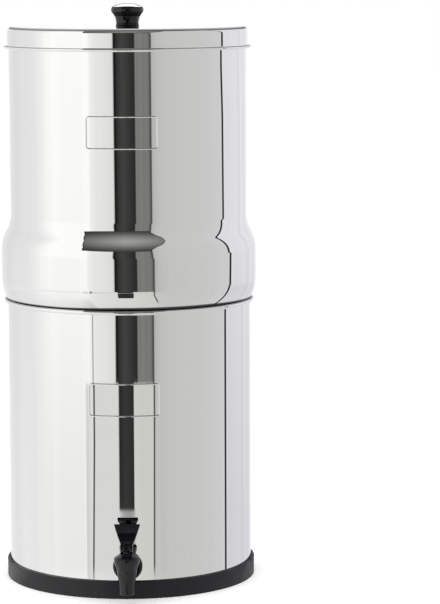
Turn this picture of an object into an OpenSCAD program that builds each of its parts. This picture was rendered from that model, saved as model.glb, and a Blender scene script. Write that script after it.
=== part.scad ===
// Gravity water filter: two nested stainless steel chambers, a lid, two filter
// elements and a self-closing tap.
// Millimetres. +Z is up, the tap faces -Y, and the origin lies on the chambers'
// common axis, in the plane of the base ring's underside.

/* [Lower chamber] */
// Outer diameter of the lower chamber
lower_d = 241.3; // [225:0.1:265]
// Height of the lower chamber, from its bottom to the top of its rim
lower_h = 277; // [240:1:330]
// Thickness of the steel sheet
wall = 0.8; // [0.6:0.1:1.1]
// Diameter of the rolled bead on the lower chamber's rim
bead_d = 4.5; // [3.8:0.1:5.4]
// Outer radius of the drawn corner between a wall and a floor
corner_r = 7; // [5:0.5:10]
// Height of the raised panel in the lower chamber's bottom
panel_rise = 2; // [1:0.5:3]
// Width of the flat foot outside the raised panel
foot_w = 22; // [18:1:30]

/* [Base ring] */
// Height of the rubber ring
ring_h = 17.1; // [14:0.1:24]
// Thickness of the ring's wall
ring_wall = 3; // [2.4:0.1:4.5]
// Thickness of the flange that the chamber stands on
ring_floor = 3; // [2:0.5:5]
// Width of that flange, inwards from the ring's wall
ring_flange_w = 13; // [10:0.5:16]
// Radius of the ring's outer edges
ring_edge_r = 1.2; // [0.6:0.1:2]

/* [Upper chamber] */
// Height of the upper chamber, from its floor to its rim
upper_h = 283.6; // [275:0.1:330]
// Depth of the spigot that nests inside the lower chamber
nest_h = 18; // [14:0.5:26]
// How far the belly stands out past the bead that it rests on
belly_overhang = 2; // [1:0.1:4]
// Height of the belly's curved foot
belly_foot_h = 18.7; // [14:0.1:24]
// Radius of the belly's curved foot
belly_foot_r = 42; // [36:1:56]
// Radius of the turned-in edge under the belly
hem_r = 1.2; // [1:0.1:2]
// Height of the belly's straight band
belly_h = 30; // [20:1:44]
// How far the neck stands in from the belly
neck_in = 9.2; // [6:0.1:12]
// Steepest slope of the shoulder, from the vertical
flare_angle = 30; // [24:1:40]
// Height of the edge folded inwards at the top rim
fold_h = 6; // [4:0.5:10]

/* [Lid] */
// Height of the lid's skirt, rolled edge included
lid_h = 22; // [17:0.5:28]
// Diameter of the rolled bead on the lid's edge
lid_bead_d = 4.6; // [3.6:0.1:5.6]
// Radius of the lid's top edge
lid_edge_r = 2.5; // [1.5:0.1:4]
// Diameter of the knob at its widest
knob_d = 31; // [26:0.5:40]
// Height of the knob, its dome included
knob_h = 22.6; // [20:0.1:30]
// Diameter of the knob's foot
knob_foot_d = 22.6; // [20:0.1:25]
// Height of the knob's grooved foot
knob_foot_h = 3.2; // [2.4:0.1:4.4]
// Diameter of the dome on the knob's top
knob_dome_d = 22.7; // [18:0.1:25]
// Height of that dome
knob_dome_h = 3.1; // [2:0.1:4.5]
// Height of the rounded edge below the dome
knob_edge_h = 3.9; // [2.5:0.1:5]
// Diameter of the brass insert in the knob
insert_d = 8; // [7:0.1:9.5]
// Length of the brass insert
insert_h = 11; // [8:0.5:13]
// Diameter of the knob's screw
screw_d = 4; // [3:0.1:5]
// Diameter of the screw's head
screw_head_d = 8; // [7:0.1:9.5]
// Height of the screw's head
screw_head_h = 2.6; // [2:0.1:3.4]
// Diameter of the washer under the lid
knob_washer_d = 12; // [11:0.5:16]
// Thickness of that washer
knob_washer_h = 1; // [0.6:0.1:1.6]

/* [Filter elements] */
// Distance from the chambers' axis to each hole in the upper floor
hole_circle_r = 58; // [52:0.5:66]
// Diameter of the carbon block
block_d = 70; // [60:0.5:74]
// Height of a filter element above its washer
filter_h = 229; // [180:1:240]
// Diameter of the hollow core of the block
core_d = 22; // [14:0.5:30]
// Thickness of the block over its core
block_cap_h = 14; // [8:0.5:20]
// Radius of the block's upper edge
block_edge_r = 4; // [2:0.5:8]
// Thickness of the base's floor
cup_floor_h = 6; // [4:0.5:9]
// Height of the base's collar round the block
cup_collar_h = 7; // [4:0.5:12]
// Wall of that collar
cup_wall = 1.6; // [1.2:0.1:2.4]
// Diameter of the threaded stems
stem_thread_d = 12.6; // [11:0.1:14]
// Diameter of the water way in a filter's stem
stem_bore_d = 6; // [4:0.1:8]
// Length of a threaded stem below the upper floor
stem_below = 18; // [15:0.5:24]
// Diameter of the sealing washers on the upper floor
seal_d = 25; // [21:0.5:30]
// Thickness of the sealing washers
seal_h = 3; // [2:0.1:4]
// Height of a blocking plug's head
plug_head_h = 6; // [4:0.5:9]
// Diameter of a wing nut's hub
wing_hub_d = 19; // [17.5:0.5:22]
// Height of a wing nut's hub
wing_hub_h = 8; // [6:0.5:11]
// Span of a wing nut over its wings
wing_span = 40; // [34:1:46]
// Thickness of a wing
wing_t = 3; // [2:0.1:4]
// Radius of a wing's tip
wing_tip_r = 5; // [4:0.5:6]

/* [Tap body] */
// Gap between the base ring and the tap's washer above it
tap_ring_gap = 0.7; // [0.3:0.1:6]
// Diameter of the tap's outer washer
tap_washer_d = 28.4; // [26:0.1:32]
// Thickness of the tap's washers
tap_washer_h = 3; // [2:0.1:4]
// Diameter of the tap's flange
tap_flange_d = 25.6; // [22:0.1:26]
// Thickness of the tap's flange
tap_flange_h = 2.6; // [1.8:0.1:4]
// Distance from the chamber's wall to the barrel's axis
tap_reach = 28; // [26:0.5:36]
// Diameter of the neck between flange and barrel
tap_neck_d = 15; // [13.5:0.1:17]
// Diameter of the threaded shank
shank_d = 15.8; // [14:0.1:16.5]
// Length of the shank inside the chamber
shank_in = 20; // [18:0.5:26]
// Diameter of the water way through shank and neck
inlet_d = 9; // [7:0.1:10]
// Width of the shank's nut over its flats
tap_nut_af = 24; // [22:0.5:27]
// Thickness of the shank's nut
tap_nut_h = 8; // [5:0.5:11]
// Diameter of the barrel at its top
barrel_d = 24.8; // [24:0.1:28]
// Height of the barrel's top above the shank's axis
barrel_up = 13.8; // [13:0.1:17]
// Height over which the barrel widens from the spout, ending below the barrel's top
flare_h = 11.2; // [9:0.1:12]
// Height of the straight band at the barrel's top
band_h = 1.6; // [1:0.1:4]
// Depth of the spout's mouth below the shank's axis
spout_down = 21.2; // [17:0.1:30]
// Outer diameter of the spout where the barrel begins
spout_top_d = 18.8; // [17:0.1:20]
// Outer diameter of the spout's mouth
mouth_d = 14.4; // [12:0.1:15.5]
// Diameter of the water way in the spout
outlet_d = 8.8; // [7:0.1:9.4]
// Depth of the valve seat below the shank's axis
seat_down = 5; // [4.8:0.1:5.8]

/* [Tap valve and lever] */
// Height of the bonnet above the barrel
bonnet_h = 4.6; // [3.6:0.1:6]
// Diameter of the flat boss on the bonnet, which the lever's cams bear on
boss_d = 13.8; // [12.6:0.1:15]
// Thickness of the seat cup's rim, clamped under the bonnet
cup_rim_h = 1.5; // [1:0.1:2.2]
// Diameter of the valve stem
valve_stem_d = 5.2; // [4.4:0.1:5.6]
// Diameter of the stem's button, held in the seat cup
button_d = 6.8; // [6.2:0.1:7.2]
// Diameter of the eye at the top of the stem
eye_d = 6.8; // [6:0.1:7.2]
// Thickness of that eye
eye_t = 4.6; // [3.6:0.1:5]
// Diameter of the lever's pin
pin_d = 3; // [2.4:0.1:3.4]
// Radius of the lever's cams
cam_r = 5.6; // [5.2:0.1:6.4]
// Height that the lever lifts the stem over its travel
valve_lift = 2.2; // [1.6:0.1:2.6]
// Width of the lever over its fork
fork_w = 11.6; // [10.8:0.1:12.4]
// Length of the lever from its pin to its tip
lever_len = 24.7; // [20:0.1:34]
// Width of the lever at its tip
lever_tip_w = 25; // [18:0.1:30]
// Height above the pin from which the lever widens
lever_root_h = 2.4; // [1.5:0.1:5]
// Thickness of the lever at its neck
lever_neck_t = 5; // [4:0.1:6]
// Thickness of the lever's blade where it would meet its tip
lever_tip_t = 2.4; // [1.8:0.1:3.4]
// Depth of the lever's flat tip, which stands out behind as a lip
lever_lip_t = 4; // [3:0.1:5]
// Height of that lip
lever_lip_h = 4; // [2:0.1:6]
// Depth of the hollow in the lever's front
lever_hollow = 1.1; // [0.6:0.1:1.6]
// Angle by which the closed lever leans back from the vertical
lever_lean = 33; // [24:1:36]

/* [Hidden] */
$fn = 96;

// Clearances
seat_gap = 0.3;    // between pieces that rest on one another and lift off
nest_gap = 0.6;    // between the spigot and the chamber it nests in
lid_gap = 0.6;     // between the lid's skirt and the upper chamber
ring_fit = 0.15;   // between the rubber ring and the chamber
fit = 0.05;        // between pieces that are screwed or pushed together
run_fit = 0.08;    // between the stem or the pin and its bore
soft_fit = 0.15;   // between the silicone cup and the stem
fork_gap = 0.35;   // between the stem's eye and each ear of the fork
cam_gap = 0.1;     // between the cams and the bonnet
hole_gap = 0.2;    // between a threaded stem and its hole in the sheet
lever_travel = 40; // degrees from closed to fully open
cut = 1;           // how far a cut runs past the piece that it cuts
chamfer = 1;       // at the tips of threaded stems, the nut's collar and the screw

// Radii and levels of the chambers, from the ring upwards
lower_r = lower_d / 2;
ring_r = lower_r + ring_fit + ring_wall;
lower_top = ring_floor + lower_h;
bead_z = lower_top - bead_d / 2;
panel_r = lower_r - foot_w;
spigot_r = lower_r - wall - nest_gap;
belly_r = lower_r - wall + bead_d + belly_overhang;
upper_r = belly_r - neck_in;
seam_z = lower_top + seat_gap;
floor_z = seam_z - nest_h;
foot_top_z = seam_z + belly_foot_h;
belly_top_z = foot_top_z + belly_h;
flare_r = neck_in / (2 * (1 - cos(flare_angle)));
neck_z = belly_top_z + 2 * flare_r * sin(flare_angle);
rim_z = floor_z + upper_h;
lid_r = upper_r + lid_gap + wall;
lid_top = rim_z + seat_gap + wall;

// Levels of the filter elements and of the tap
seal_z = floor_z + wall;
cup_z = seal_z + seal_h;
tap_z = ring_h + tap_ring_gap + tap_washer_d / 2;
shank_r = shank_d / 2;
outlet_r = outlet_d / 2;
seat_w = 2.5;                            // width of the valve seat round the outlet
ledge_w = 2.7;                           // width of the ledge under the seat cup's rim
ledge_over_inlet = 1.5;
chamber_r = outlet_r + seat_w;           // valve chamber inside the barrel
bonnet_bore_r = chamber_r + ledge_w;     // bore that the bonnet screws into
cup_ledge_z = inlet_d / 2 + ledge_over_inlet;
skirt_z = cup_ledge_z + cup_rim_h;       // lower end of the bonnet's skirt
boss_z = barrel_up + bonnet_h;
plug_floor = 1.4;                        // silicone under the stem's button
button_h = 2.4;
// The cams' centre circles round the pin: half the lift above it when closed,
// half the lift below it when open
cam_offset = valve_lift / 2 / sin(lever_travel / 2);
cam_y = -cam_offset * cos(lever_travel / 2);
cam_z = valve_lift / 2;
pin_z = boss_z + cam_gap + cam_r - cam_z;
ear_in = eye_t / 2 + fork_gap;

STEEL = "gainsboro";
BLACK = "#1d1d20";
RUBBER = "#2b2b2e";
CARBON = "#26262a";
SILICONE = "ivory";
BRASS = "goldenrod";
WHITE_PLASTIC = "whitesmoke";

// ---------------------------------------------------------------- helpers

// Points of an arc about c, from angle a0 to angle a1
function arc(c, r, a0, a1, steps = 8) =
    [for (i = [0 : steps]) let (a = a0 + (a1 - a0) * i / steps)
        c + r * [cos(a), sin(a)]];

// Points of a half-cosine ease from p0 to p1, upright at both ends
function ease(p0, p1, steps = 12) =
    [for (i = [0 : steps]) let (t = i / steps)
        [p0.x + (p1.x - p0.x) * (1 - cos(180 * t)) / 2, p0.y + (p1.y - p0.y) * t]];

// Points of a sheet's edge rolled into a bead of outer radius r about c: out along
// the bead's inside from the wall, where the angle is 180, and back on its outside
function curl(c, r, end_a) =
    concat(arc(c, r - wall, 180, end_a, 20), arc(c, r, end_a, 180, 20));

// Plain ring: a washer, or a bored disc
module ring(outer_r, bore_r, h) {
    difference() {
        cylinder(r = outer_r, h = h);
        translate([0, 0, -cut]) cylinder(r = bore_r, h = h + 2 * cut);
    }
}

// Places its children at a hole of the upper floor, at angle a round the axis
module at_hole(a) {
    rotate(a) translate([hole_circle_r, 0, 0]) children();
}

// Tap frame: origin where the shank's axis meets the chamber's outer wall
module at_tap() {
    translate([0, -lower_r, tap_z]) children();
}

// Barrel frame: on the barrel's axis, level with the shank's axis
module at_barrel() {
    at_tap() translate([0, -tap_reach, 0]) children();
}

// Cylinder along the tap's shank, from p0 to p1 outwards from the wall
module outward(r, p0, p1, sides = 96) {
    translate([0, -p0, 0]) rotate([90, 0, 0]) cylinder(r = r, h = p1 - p0, $fn = sides);
}

// Cylinder across the tap, centred on x = 0
module across(r, w) {
    rotate([0, 90, 0]) cylinder(r = r, h = w, center = true);
}

// ---------------------------------------------------------------- lower chamber

module base_ring() {
    inner_r = lower_r + ring_fit;
    top_r = ring_edge_r / 2;
    color(RUBBER) rotate_extrude() polygon(concat(
        [[inner_r - ring_flange_w, 0]],
        arc([ring_r - ring_edge_r, ring_edge_r], ring_edge_r, -90, 0),
        arc([ring_r - top_r, ring_h - top_r], top_r, 0, 90),
        [[inner_r, ring_h], [inner_r, ring_floor], [inner_r - ring_flange_w, ring_floor]]));
}

module lower_chamber() {
    corner = [lower_r - corner_r, ring_floor + corner_r];
    panel_z = ring_floor + panel_rise;
    bevel = wall * tan(22.5);
    color(STEEL) difference() {
        rotate_extrude() polygon(concat(
            [[0, panel_z], [panel_r, panel_z], [panel_r + panel_rise, ring_floor]],
            arc(corner, corner_r, -90, 0),
            curl([lower_r - wall + bead_d / 2, bead_z], bead_d / 2, -120),
            arc(corner, corner_r - wall, 0, -90),
            [[panel_r + panel_rise + bevel, ring_floor + wall],
             [panel_r + bevel, panel_z + wall], [0, panel_z + wall]]));
        at_tap() outward(shank_r + hole_gap, -shank_r, shank_r);
    }
}

// ---------------------------------------------------------------- upper chamber

module upper_chamber() {
    corner = [spigot_r - corner_r, floor_z + corner_r];
    foot = [belly_r - belly_foot_r, foot_top_z];
    shoulder = [belly_r - flare_r, belly_top_z];
    neck = [upper_r + flare_r, neck_z];
    hem_a = asin((belly_foot_h - hem_r) / (belly_foot_r - hem_r));
    hem_x = foot.x + (belly_foot_r - hem_r) * cos(hem_a);
    foot_in_a = asin((belly_foot_h - wall) / (belly_foot_r - wall));
    color(STEEL) difference() {
        rotate_extrude() polygon(concat(
            // outside, from the floor up
            [[0, floor_z]],
            arc(corner, corner_r, -90, 0),
            [[spigot_r, seam_z]],
            arc([hem_x, seam_z + hem_r], hem_r, -90, -hem_a),
            arc(foot, belly_foot_r, -hem_a, 0),
            arc(shoulder, flare_r, 0, flare_angle),
            arc(neck, flare_r, 180 + flare_angle, 180),
            // the folded rim
            arc([upper_r - wall, rim_z - wall], wall, 0, 180),
            [[upper_r - 2 * wall, rim_z - fold_h], [upper_r - wall, rim_z - fold_h]],
            // inside, from the neck down
            arc(neck, flare_r + wall, 180, 180 + flare_angle),
            arc(shoulder, flare_r - wall, flare_angle, 0),
            arc(foot, belly_foot_r - wall, 0, -foot_in_a),
            [[spigot_r - wall, seam_z + wall]],
            arc(corner, corner_r - wall, 0, -90),
            [[0, floor_z + wall]]));
        for (a = [0 : 90 : 270]) at_hole(a)
            translate([0, 0, floor_z - cut])
                cylinder(d = stem_thread_d + 2 * hole_gap, h = wall + 2 * cut);
    }
}

// ---------------------------------------------------------------- filter elements

module filter_block(a) {
    top = filter_h - cup_floor_h;
    color(CARBON) at_hole(a) translate([0, 0, cup_z + cup_floor_h]) rotate_extrude()
        polygon(concat(
            [[core_d / 2, 0]],
            [[block_d / 2, 0]],
            arc([block_d / 2 - block_edge_r, top - block_edge_r], block_edge_r, 0, 90),
            [[0, top], [0, top - block_cap_h], [core_d / 2, top - block_cap_h]]));
}

module filter_base(a) {
    cup_r = block_d / 2 + fit + cup_wall;
    bevel = 2;
    tip_z = -seal_h - wall - stem_below;
    color(BLACK) at_hole(a) translate([0, 0, cup_z]) rotate_extrude() polygon([
        [stem_bore_d / 2, tip_z], [stem_thread_d / 2 - chamfer, tip_z],
        [stem_thread_d / 2, tip_z + chamfer],
        [stem_thread_d / 2, 0], [cup_r - bevel, 0], [cup_r, bevel],
        [cup_r, cup_floor_h + cup_collar_h],
        [cup_r - cup_wall, cup_floor_h + cup_collar_h],
        [cup_r - cup_wall, cup_floor_h], [stem_bore_d / 2, cup_floor_h]]);
}

module sealing_washer(a) {
    color(RUBBER) at_hole(a) translate([0, 0, seal_z])
        ring(seal_d / 2, stem_thread_d / 2 + fit, seal_h);
}

module blocking_plug(a) {
    head_r = seal_d / 2;
    dome_r = (head_r * head_r + plug_head_h * plug_head_h / 4) / plug_head_h;
    dome_a = asin(head_r / dome_r);
    tip_z = -seal_h - wall - stem_below;
    color(WHITE_PLASTIC) at_hole(a) translate([0, 0, cup_z]) rotate_extrude() polygon(concat(
        [[0, tip_z], [stem_thread_d / 2 - chamfer, tip_z], [stem_thread_d / 2, tip_z + chamfer],
         [stem_thread_d / 2, 0], [head_r, 0]],
        arc([0, plug_head_h - dome_r], dome_r, 90 - dome_a, 90)));
}

// A wing nut under the upper floor: hub, and two wings that droop from it
module wing_nut(a) {
    hub_r = wing_hub_d / 2;
    droop = 1.5;                 // of a wing's root below the floor, and of its tip below the hub
    tip_x = wing_span / 2 - wing_tip_r;
    tip_z = -wing_hub_h - droop;
    tangent = wing_tip_r * [cos(60), sin(60)];
    color(WHITE_PLASTIC) at_hole(a) translate([0, 0, floor_z]) difference() {
        union() {
            translate([0, 0, -wing_hub_h]) cylinder(r = hub_r, h = wing_hub_h);
            rotate([90, 0, 0]) linear_extrude(wing_t, center = true) for (s = [0, 1]) mirror([s, 0]) {
                translate([tip_x, tip_z]) circle(wing_tip_r);
                polygon([[0, -droop], [hub_r, -droop], [tip_x, tip_z] + tangent,
                         [tip_x, tip_z] - tangent, [hub_r - chamfer, -wing_hub_h], [0, -wing_hub_h]]);
            }
        }
        translate([0, 0, -wing_span]) cylinder(r = stem_thread_d / 2 + fit, h = 2 * wing_span);
    }
}

// ---------------------------------------------------------------- lid and knob

module lid_shell() {
    edge = [lid_r - lid_edge_r, lid_top - lid_edge_r];
    lip_z = lid_top - lid_h + lid_bead_d / 2;
    color(STEEL) difference() {
        rotate_extrude() polygon(concat(
            [[0, lid_top]],
            arc(edge, lid_edge_r, 90, 0),
            curl([lid_r - wall + lid_bead_d / 2, lip_z], lid_bead_d / 2, 480),
            arc(edge, lid_edge_r - wall, 0, 90),
            [[0, lid_top - wall]]));
        translate([0, 0, lid_top - wall - cut])
            cylinder(d = screw_d + 2 * hole_gap, h = wall + 2 * cut);
    }
}

module lid_knob() {
    foot_r = knob_foot_d / 2;
    groove = 0.45;               // depth of the two grooves turned in the foot
    waist_r = foot_r - 1.5 * groove;
    dome_r = knob_dome_d / 2;
    edge_top = knob_h - knob_dome_h;
    edge_z = edge_top - knob_edge_h;
    sphere_r = (dome_r * dome_r + knob_dome_h * knob_dome_h) / (2 * knob_dome_h);
    sphere_a = asin(dome_r / sphere_r);
    color(BLACK) translate([0, 0, lid_top]) difference() {
        rotate_extrude() polygon(concat(
            // foot: at each share of its height, how many grooves deep it lies
            [for (p = [[0, 0], [0.2, 0], [0.3, 2], [0.45, 1], [0.75, 1], [0.9, 2]])
                [foot_r - p.y * groove, p.x * knob_foot_h]],
            // flank, which widens with the square of its height
            [for (t = [0 : 0.1 : 0.9])
                [waist_r + (knob_d / 2 - waist_r) * t * t, knob_foot_h + (edge_z - knob_foot_h) * t]],
            // edge, a quarter of an ellipse
            [for (a = [0 : 10 : 90])
                [dome_r + (knob_d / 2 - dome_r) * cos(a), edge_z + knob_edge_h * sin(a)]],
            arc([0, knob_h - sphere_r], sphere_r, 90 - sphere_a, 90),
            [[0, 0]]));
        translate([0, 0, -cut]) cylinder(d = insert_d + 2 * fit, h = insert_h + 2 * cut);
    }
}

module knob_insert() {
    color(BRASS) translate([0, 0, lid_top]) ring(insert_d / 2, screw_d / 2 + fit, insert_h);
}

module knob_washer() {
    color(STEEL) translate([0, 0, lid_top - wall - knob_washer_h])
        ring(knob_washer_d / 2, screw_d / 2 + fit, knob_washer_h);
}

module knob_screw() {
    head_z = lid_top - wall - knob_washer_h;
    tip_z = lid_top + insert_h - chamfer;
    edge_r = screw_head_h * 0.6;
    recess_w = 1;                // of the cross recess: width, depth and length
    recess_h = screw_head_h / 2;
    recess_l = screw_head_d * 0.55;
    color(STEEL) difference() {
        rotate_extrude() polygon(concat(
            [[0, head_z - screw_head_h]],
            arc([screw_head_d / 2 - edge_r, head_z - screw_head_h + edge_r], edge_r, -90, 0),
            [[screw_head_d / 2, head_z], [screw_d / 2, head_z],
             [screw_d / 2, tip_z - chamfer / 2], [(screw_d - chamfer) / 2, tip_z], [0, tip_z]]));
        translate([0, 0, head_z - screw_head_h]) for (a = [0, 90]) rotate(a)
            cube([recess_l, recess_w, 2 * recess_h], center = true);
    }
}

// ---------------------------------------------------------------- tap

// The washers' inner faces follow the chamber's curved wall
module tap_outer_washer() {
    bevel = 1.2;
    color(RUBBER) difference() {
        at_tap() rotate([90, 0, 0]) rotate_extrude() polygon([
            [shank_r + fit, -tap_washer_h], [tap_washer_d / 2, -tap_washer_h],
            [tap_washer_d / 2, tap_washer_h - bevel],
            [tap_washer_d / 2 - bevel, tap_washer_h], [shank_r + fit, tap_washer_h]]);
        cylinder(r = lower_r, h = 2 * tap_z, $fn = 720);
    }
}

module tap_inner_washer() {
    inner_p = -wall - tap_washer_h;
    edge_w = 1.5;                // by which the washer stands out past the nut's flats
    color(RUBBER) intersection() {
        at_tap() difference() {
            outward(tap_nut_af / 2 + edge_w, inner_p, tap_washer_h);
            outward(shank_r + fit, inner_p - cut, tap_washer_h + cut);
        }
        cylinder(r = lower_r - wall, h = 2 * tap_z, $fn = 720);
    }
}

module tap_nut() {
    inner_p = -wall - tap_washer_h;
    collar_h = 1.5;
    color(BLACK) at_tap() difference() {
        union() {
            outward(tap_nut_af / 2 / cos(30), inner_p - tap_nut_h, inner_p - collar_h, 6);
            outward(tap_nut_af / 2 + chamfer, inner_p - collar_h, inner_p);
        }
        outward(shank_r + fit, inner_p - tap_nut_h - cut, inner_p + cut);
    }
}

module tap_body() {
    spout_up = barrel_up - band_h - flare_h;
    spout_h = spout_up + spout_down;
    color(BLACK) difference() {
        union() {
            at_barrel() rotate_extrude() polygon(concat(
                [[0, -spout_down]],
                // spout, which widens with the one and a half power of its height
                [for (t = [0 : 0.125 : 0.875])
                    [mouth_d / 2 + (spout_top_d - mouth_d) / 2 * pow(t, 1.5), spout_h * t - spout_down]],
                ease([spout_top_d / 2, spout_up], [barrel_d / 2, barrel_up - band_h]),
                [[barrel_d / 2, barrel_up], [0, barrel_up]]));
            at_tap() {
                outward(shank_r, -wall - shank_in, tap_washer_h);
                outward(tap_flange_d / 2, tap_washer_h, tap_washer_h + tap_flange_h);
                outward(tap_neck_d / 2, tap_washer_h, tap_reach);
            }
        }
        at_barrel() rotate_extrude() polygon([
            [0, -spout_down - cut], [outlet_r, -spout_down - cut], [outlet_r, -seat_down],
            [chamber_r, -seat_down], [chamber_r, cup_ledge_z], [bonnet_bore_r, cup_ledge_z],
            [bonnet_bore_r, barrel_up + cut], [0, barrel_up + cut]]);
        at_tap() outward(inlet_d / 2, -wall - shank_in - cut, tap_reach);
    }
}

// Screw cap of the barrel: its skirt clamps the seat cup, its boss carries the cams
module tap_bonnet() {
    rim_r = barrel_d / 2 - 0.5;
    rim_h = 1.2;
    boss_bevel = 0.4;
    crown_t = 0.8;               // from the barrel's top down to the hollow's edge
    flute_r = 1.1;
    flutes = 16;
    color(BLACK) at_barrel() difference() {
        rotate_extrude() polygon([
            [valve_stem_d / 2 + run_fit, boss_z], [boss_d / 2, boss_z],
            [boss_d / 2 + boss_bevel, boss_z - 2 * boss_bevel],
            [rim_r, barrel_up + rim_h], [rim_r, barrel_up],
            [bonnet_bore_r - fit, barrel_up], [bonnet_bore_r - fit, skirt_z],
            [chamber_r, skirt_z], [chamber_r, barrel_up - crown_t],
            [valve_stem_d / 2 + 2 * crown_t, barrel_up + crown_t],
            [valve_stem_d / 2 + run_fit, barrel_up + crown_t]]);
        for (i = [0 : flutes - 1]) rotate(i * 360 / flutes)
            translate([rim_r + flute_r * 0.6, 0, barrel_up - cut])
                cylinder(r = flute_r, h = rim_h + 2 * cut);
    }
}

// Silicone cup: a rim clamped by the bonnet, a thin sleeve and the plug on the seat
module tap_seat_cup() {
    plug_r = outlet_r + 1.8;
    plug_h = 3.6;
    sleeve_t = 1;
    sleeve_r = button_d / 2 + soft_fit + sleeve_t;
    floor_z = plug_floor - seat_down;
    pocket_top = floor_z + button_h + 2 * soft_fit;
    color(SILICONE) at_barrel() rotate_extrude() polygon([
        [0, -seat_down], [plug_r, -seat_down], [plug_r, plug_h - seat_down - sleeve_t],
        [sleeve_r, plug_h - seat_down], [sleeve_r, cup_ledge_z - sleeve_t],
        [chamber_r - hole_gap, cup_ledge_z], [bonnet_bore_r - soft_fit, cup_ledge_z],
        [bonnet_bore_r - soft_fit, skirt_z], [sleeve_r, skirt_z],
        [valve_stem_d / 2 + soft_fit, skirt_z - sleeve_t],
        [valve_stem_d / 2 + soft_fit, pocket_top], [button_d / 2 + soft_fit, pocket_top],
        [button_d / 2 + soft_fit, floor_z], [0, floor_z]]);
}

module tap_stem() {
    button_z = plug_floor + soft_fit - seat_down;
    bevel = button_h / 4;
    color(STEEL) at_barrel() difference() {
        union() {
            rotate_extrude() polygon([
                [0, button_z], [button_d / 2 - bevel, button_z], [button_d / 2, button_z + bevel],
                [button_d / 2, button_z + button_h], [valve_stem_d / 2, button_z + button_h],
                [valve_stem_d / 2, pin_z - eye_d / 2], [0, (boss_z + pin_z) / 2]]);
            intersection() {
                translate([0, 0, boss_z]) cylinder(d = valve_stem_d, h = pin_z - boss_z);
                translate([-eye_t / 2, -eye_d / 2, boss_z]) cube([eye_t, eye_d, pin_z - boss_z]);
            }
            translate([0, 0, pin_z]) across(eye_d / 2, eye_t);
        }
        translate([0, 0, pin_z]) across(pin_d / 2 + run_fit, fork_w);
    }
}

// Lever: a forked foot with two round cams, and a flared blade that leans back.
// The blade is a front outline and a side outline, each carried straight through
// and kept where they meet.
module tap_lever() {
    neck_z = cam_r + 1;          // from here up the blade thins and its front is hollow
    slot_z = eye_d / 2 + 1.2;    // top of the fork's slot, clear of the stem's eye
    back = lever_neck_t / 2;
    tip_back = lever_tip_t / 2;
    lip_back = lever_lip_t - tip_back;
    lip_z = lever_len - lever_lip_h;
    corner = 0.8;                // cut off the tip's corners
    root_x = fork_w / 2 - 0.4;   // the blade's root stands in from the fork's ears
    // Half the thickness of the tapering blade at height z
    function half_t(z) = tip_back + (back - tip_back) * (lever_len - z) / (lever_len - neck_z);
    color(BLACK) at_barrel() translate([0, 0, pin_z]) difference() {
        union() {
            for (s = [-1, 1]) translate([s * (fork_w / 2 + ear_in) / 2, cam_y, cam_z])
                across(cam_r, fork_w / 2 - ear_in);
            rotate([-lever_lean, 0, 0]) intersection() {
                rotate([90, 0, 0]) linear_extrude(4 * cam_r, center = true) polygon([
                    [-root_x, 0], [root_x, 0], [root_x, lever_root_h],
                    [lever_tip_w / 2, lever_len - corner], [lever_tip_w / 2 - corner, lever_len],
                    [corner - lever_tip_w / 2, lever_len], [-lever_tip_w / 2, lever_len - corner],
                    [-root_x, lever_root_h]]);
                rotate([90, 0, 90]) linear_extrude(2 * lever_tip_w, center = true) polygon(concat(
                    [[-cam_r, 0], [back, 0], [back, neck_z],
                     [half_t(lip_z), lip_z - (lip_back - half_t(lip_z))],
                     [lip_back, lip_z], [lip_back, lever_len]],
                    // the hollowed front of the blade
                    [for (t = [0 : 0.1 : 1]) let (z = lever_len + (neck_z - lever_len) * t)
                        [lever_hollow * sin(180 * t) - half_t(z), z]],
                    [[-cam_r, cam_z]]));
            }
        }
        translate([-ear_in, -2 * cam_r, -2 * cam_r])
            cube([2 * ear_in, 4 * cam_r, 2 * cam_r + slot_z]);
        across(pin_d / 2, 2 * fork_w);
    }
}

module tap_pin() {
    color(STEEL) at_barrel() translate([0, 0, pin_z]) across(pin_d / 2, fork_w);
}

// ---------------------------------------------------------------- the model

base_ring();
lower_chamber();
tap_body();
tap_outer_washer();
tap_inner_washer();
tap_nut();
tap_bonnet();
tap_seat_cup();
tap_stem();
tap_lever();
tap_pin();
upper_chamber();
filter_block(180);  // filter_left_block
filter_base(180);  // filter_left_base
sealing_washer(180);  // filter_left_washer
wing_nut(180);  // filter_left_nut
filter_block(0);  // filter_right_block
filter_base(0);  // filter_right_base
sealing_washer(0);  // filter_right_washer
wing_nut(0);  // filter_right_nut
blocking_plug(270);  // plug_front
sealing_washer(270);  // plug_front_washer
wing_nut(270);  // plug_front_nut
blocking_plug(90);  // plug_back
sealing_washer(90);  // plug_back_washer
wing_nut(90);  // plug_back_nut
lid_shell();
lid_knob();
knob_insert();
knob_screw();
knob_washer();
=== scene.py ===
# %% [markdown]
# # A gravity water filter in polished steel
# Two drawn steel pots stand one in the other, under a pressed lid with a black knob. A small
# black tap lets the water out. Polished steel has hardly any colour of its own: what is seen on
# it is the studio around it. So this lesson spends as much care on the studio as on the pots.

# %% The frame and the tools
import math

import bpy
import numpy as np
from mathutils import Matrix, Vector


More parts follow.
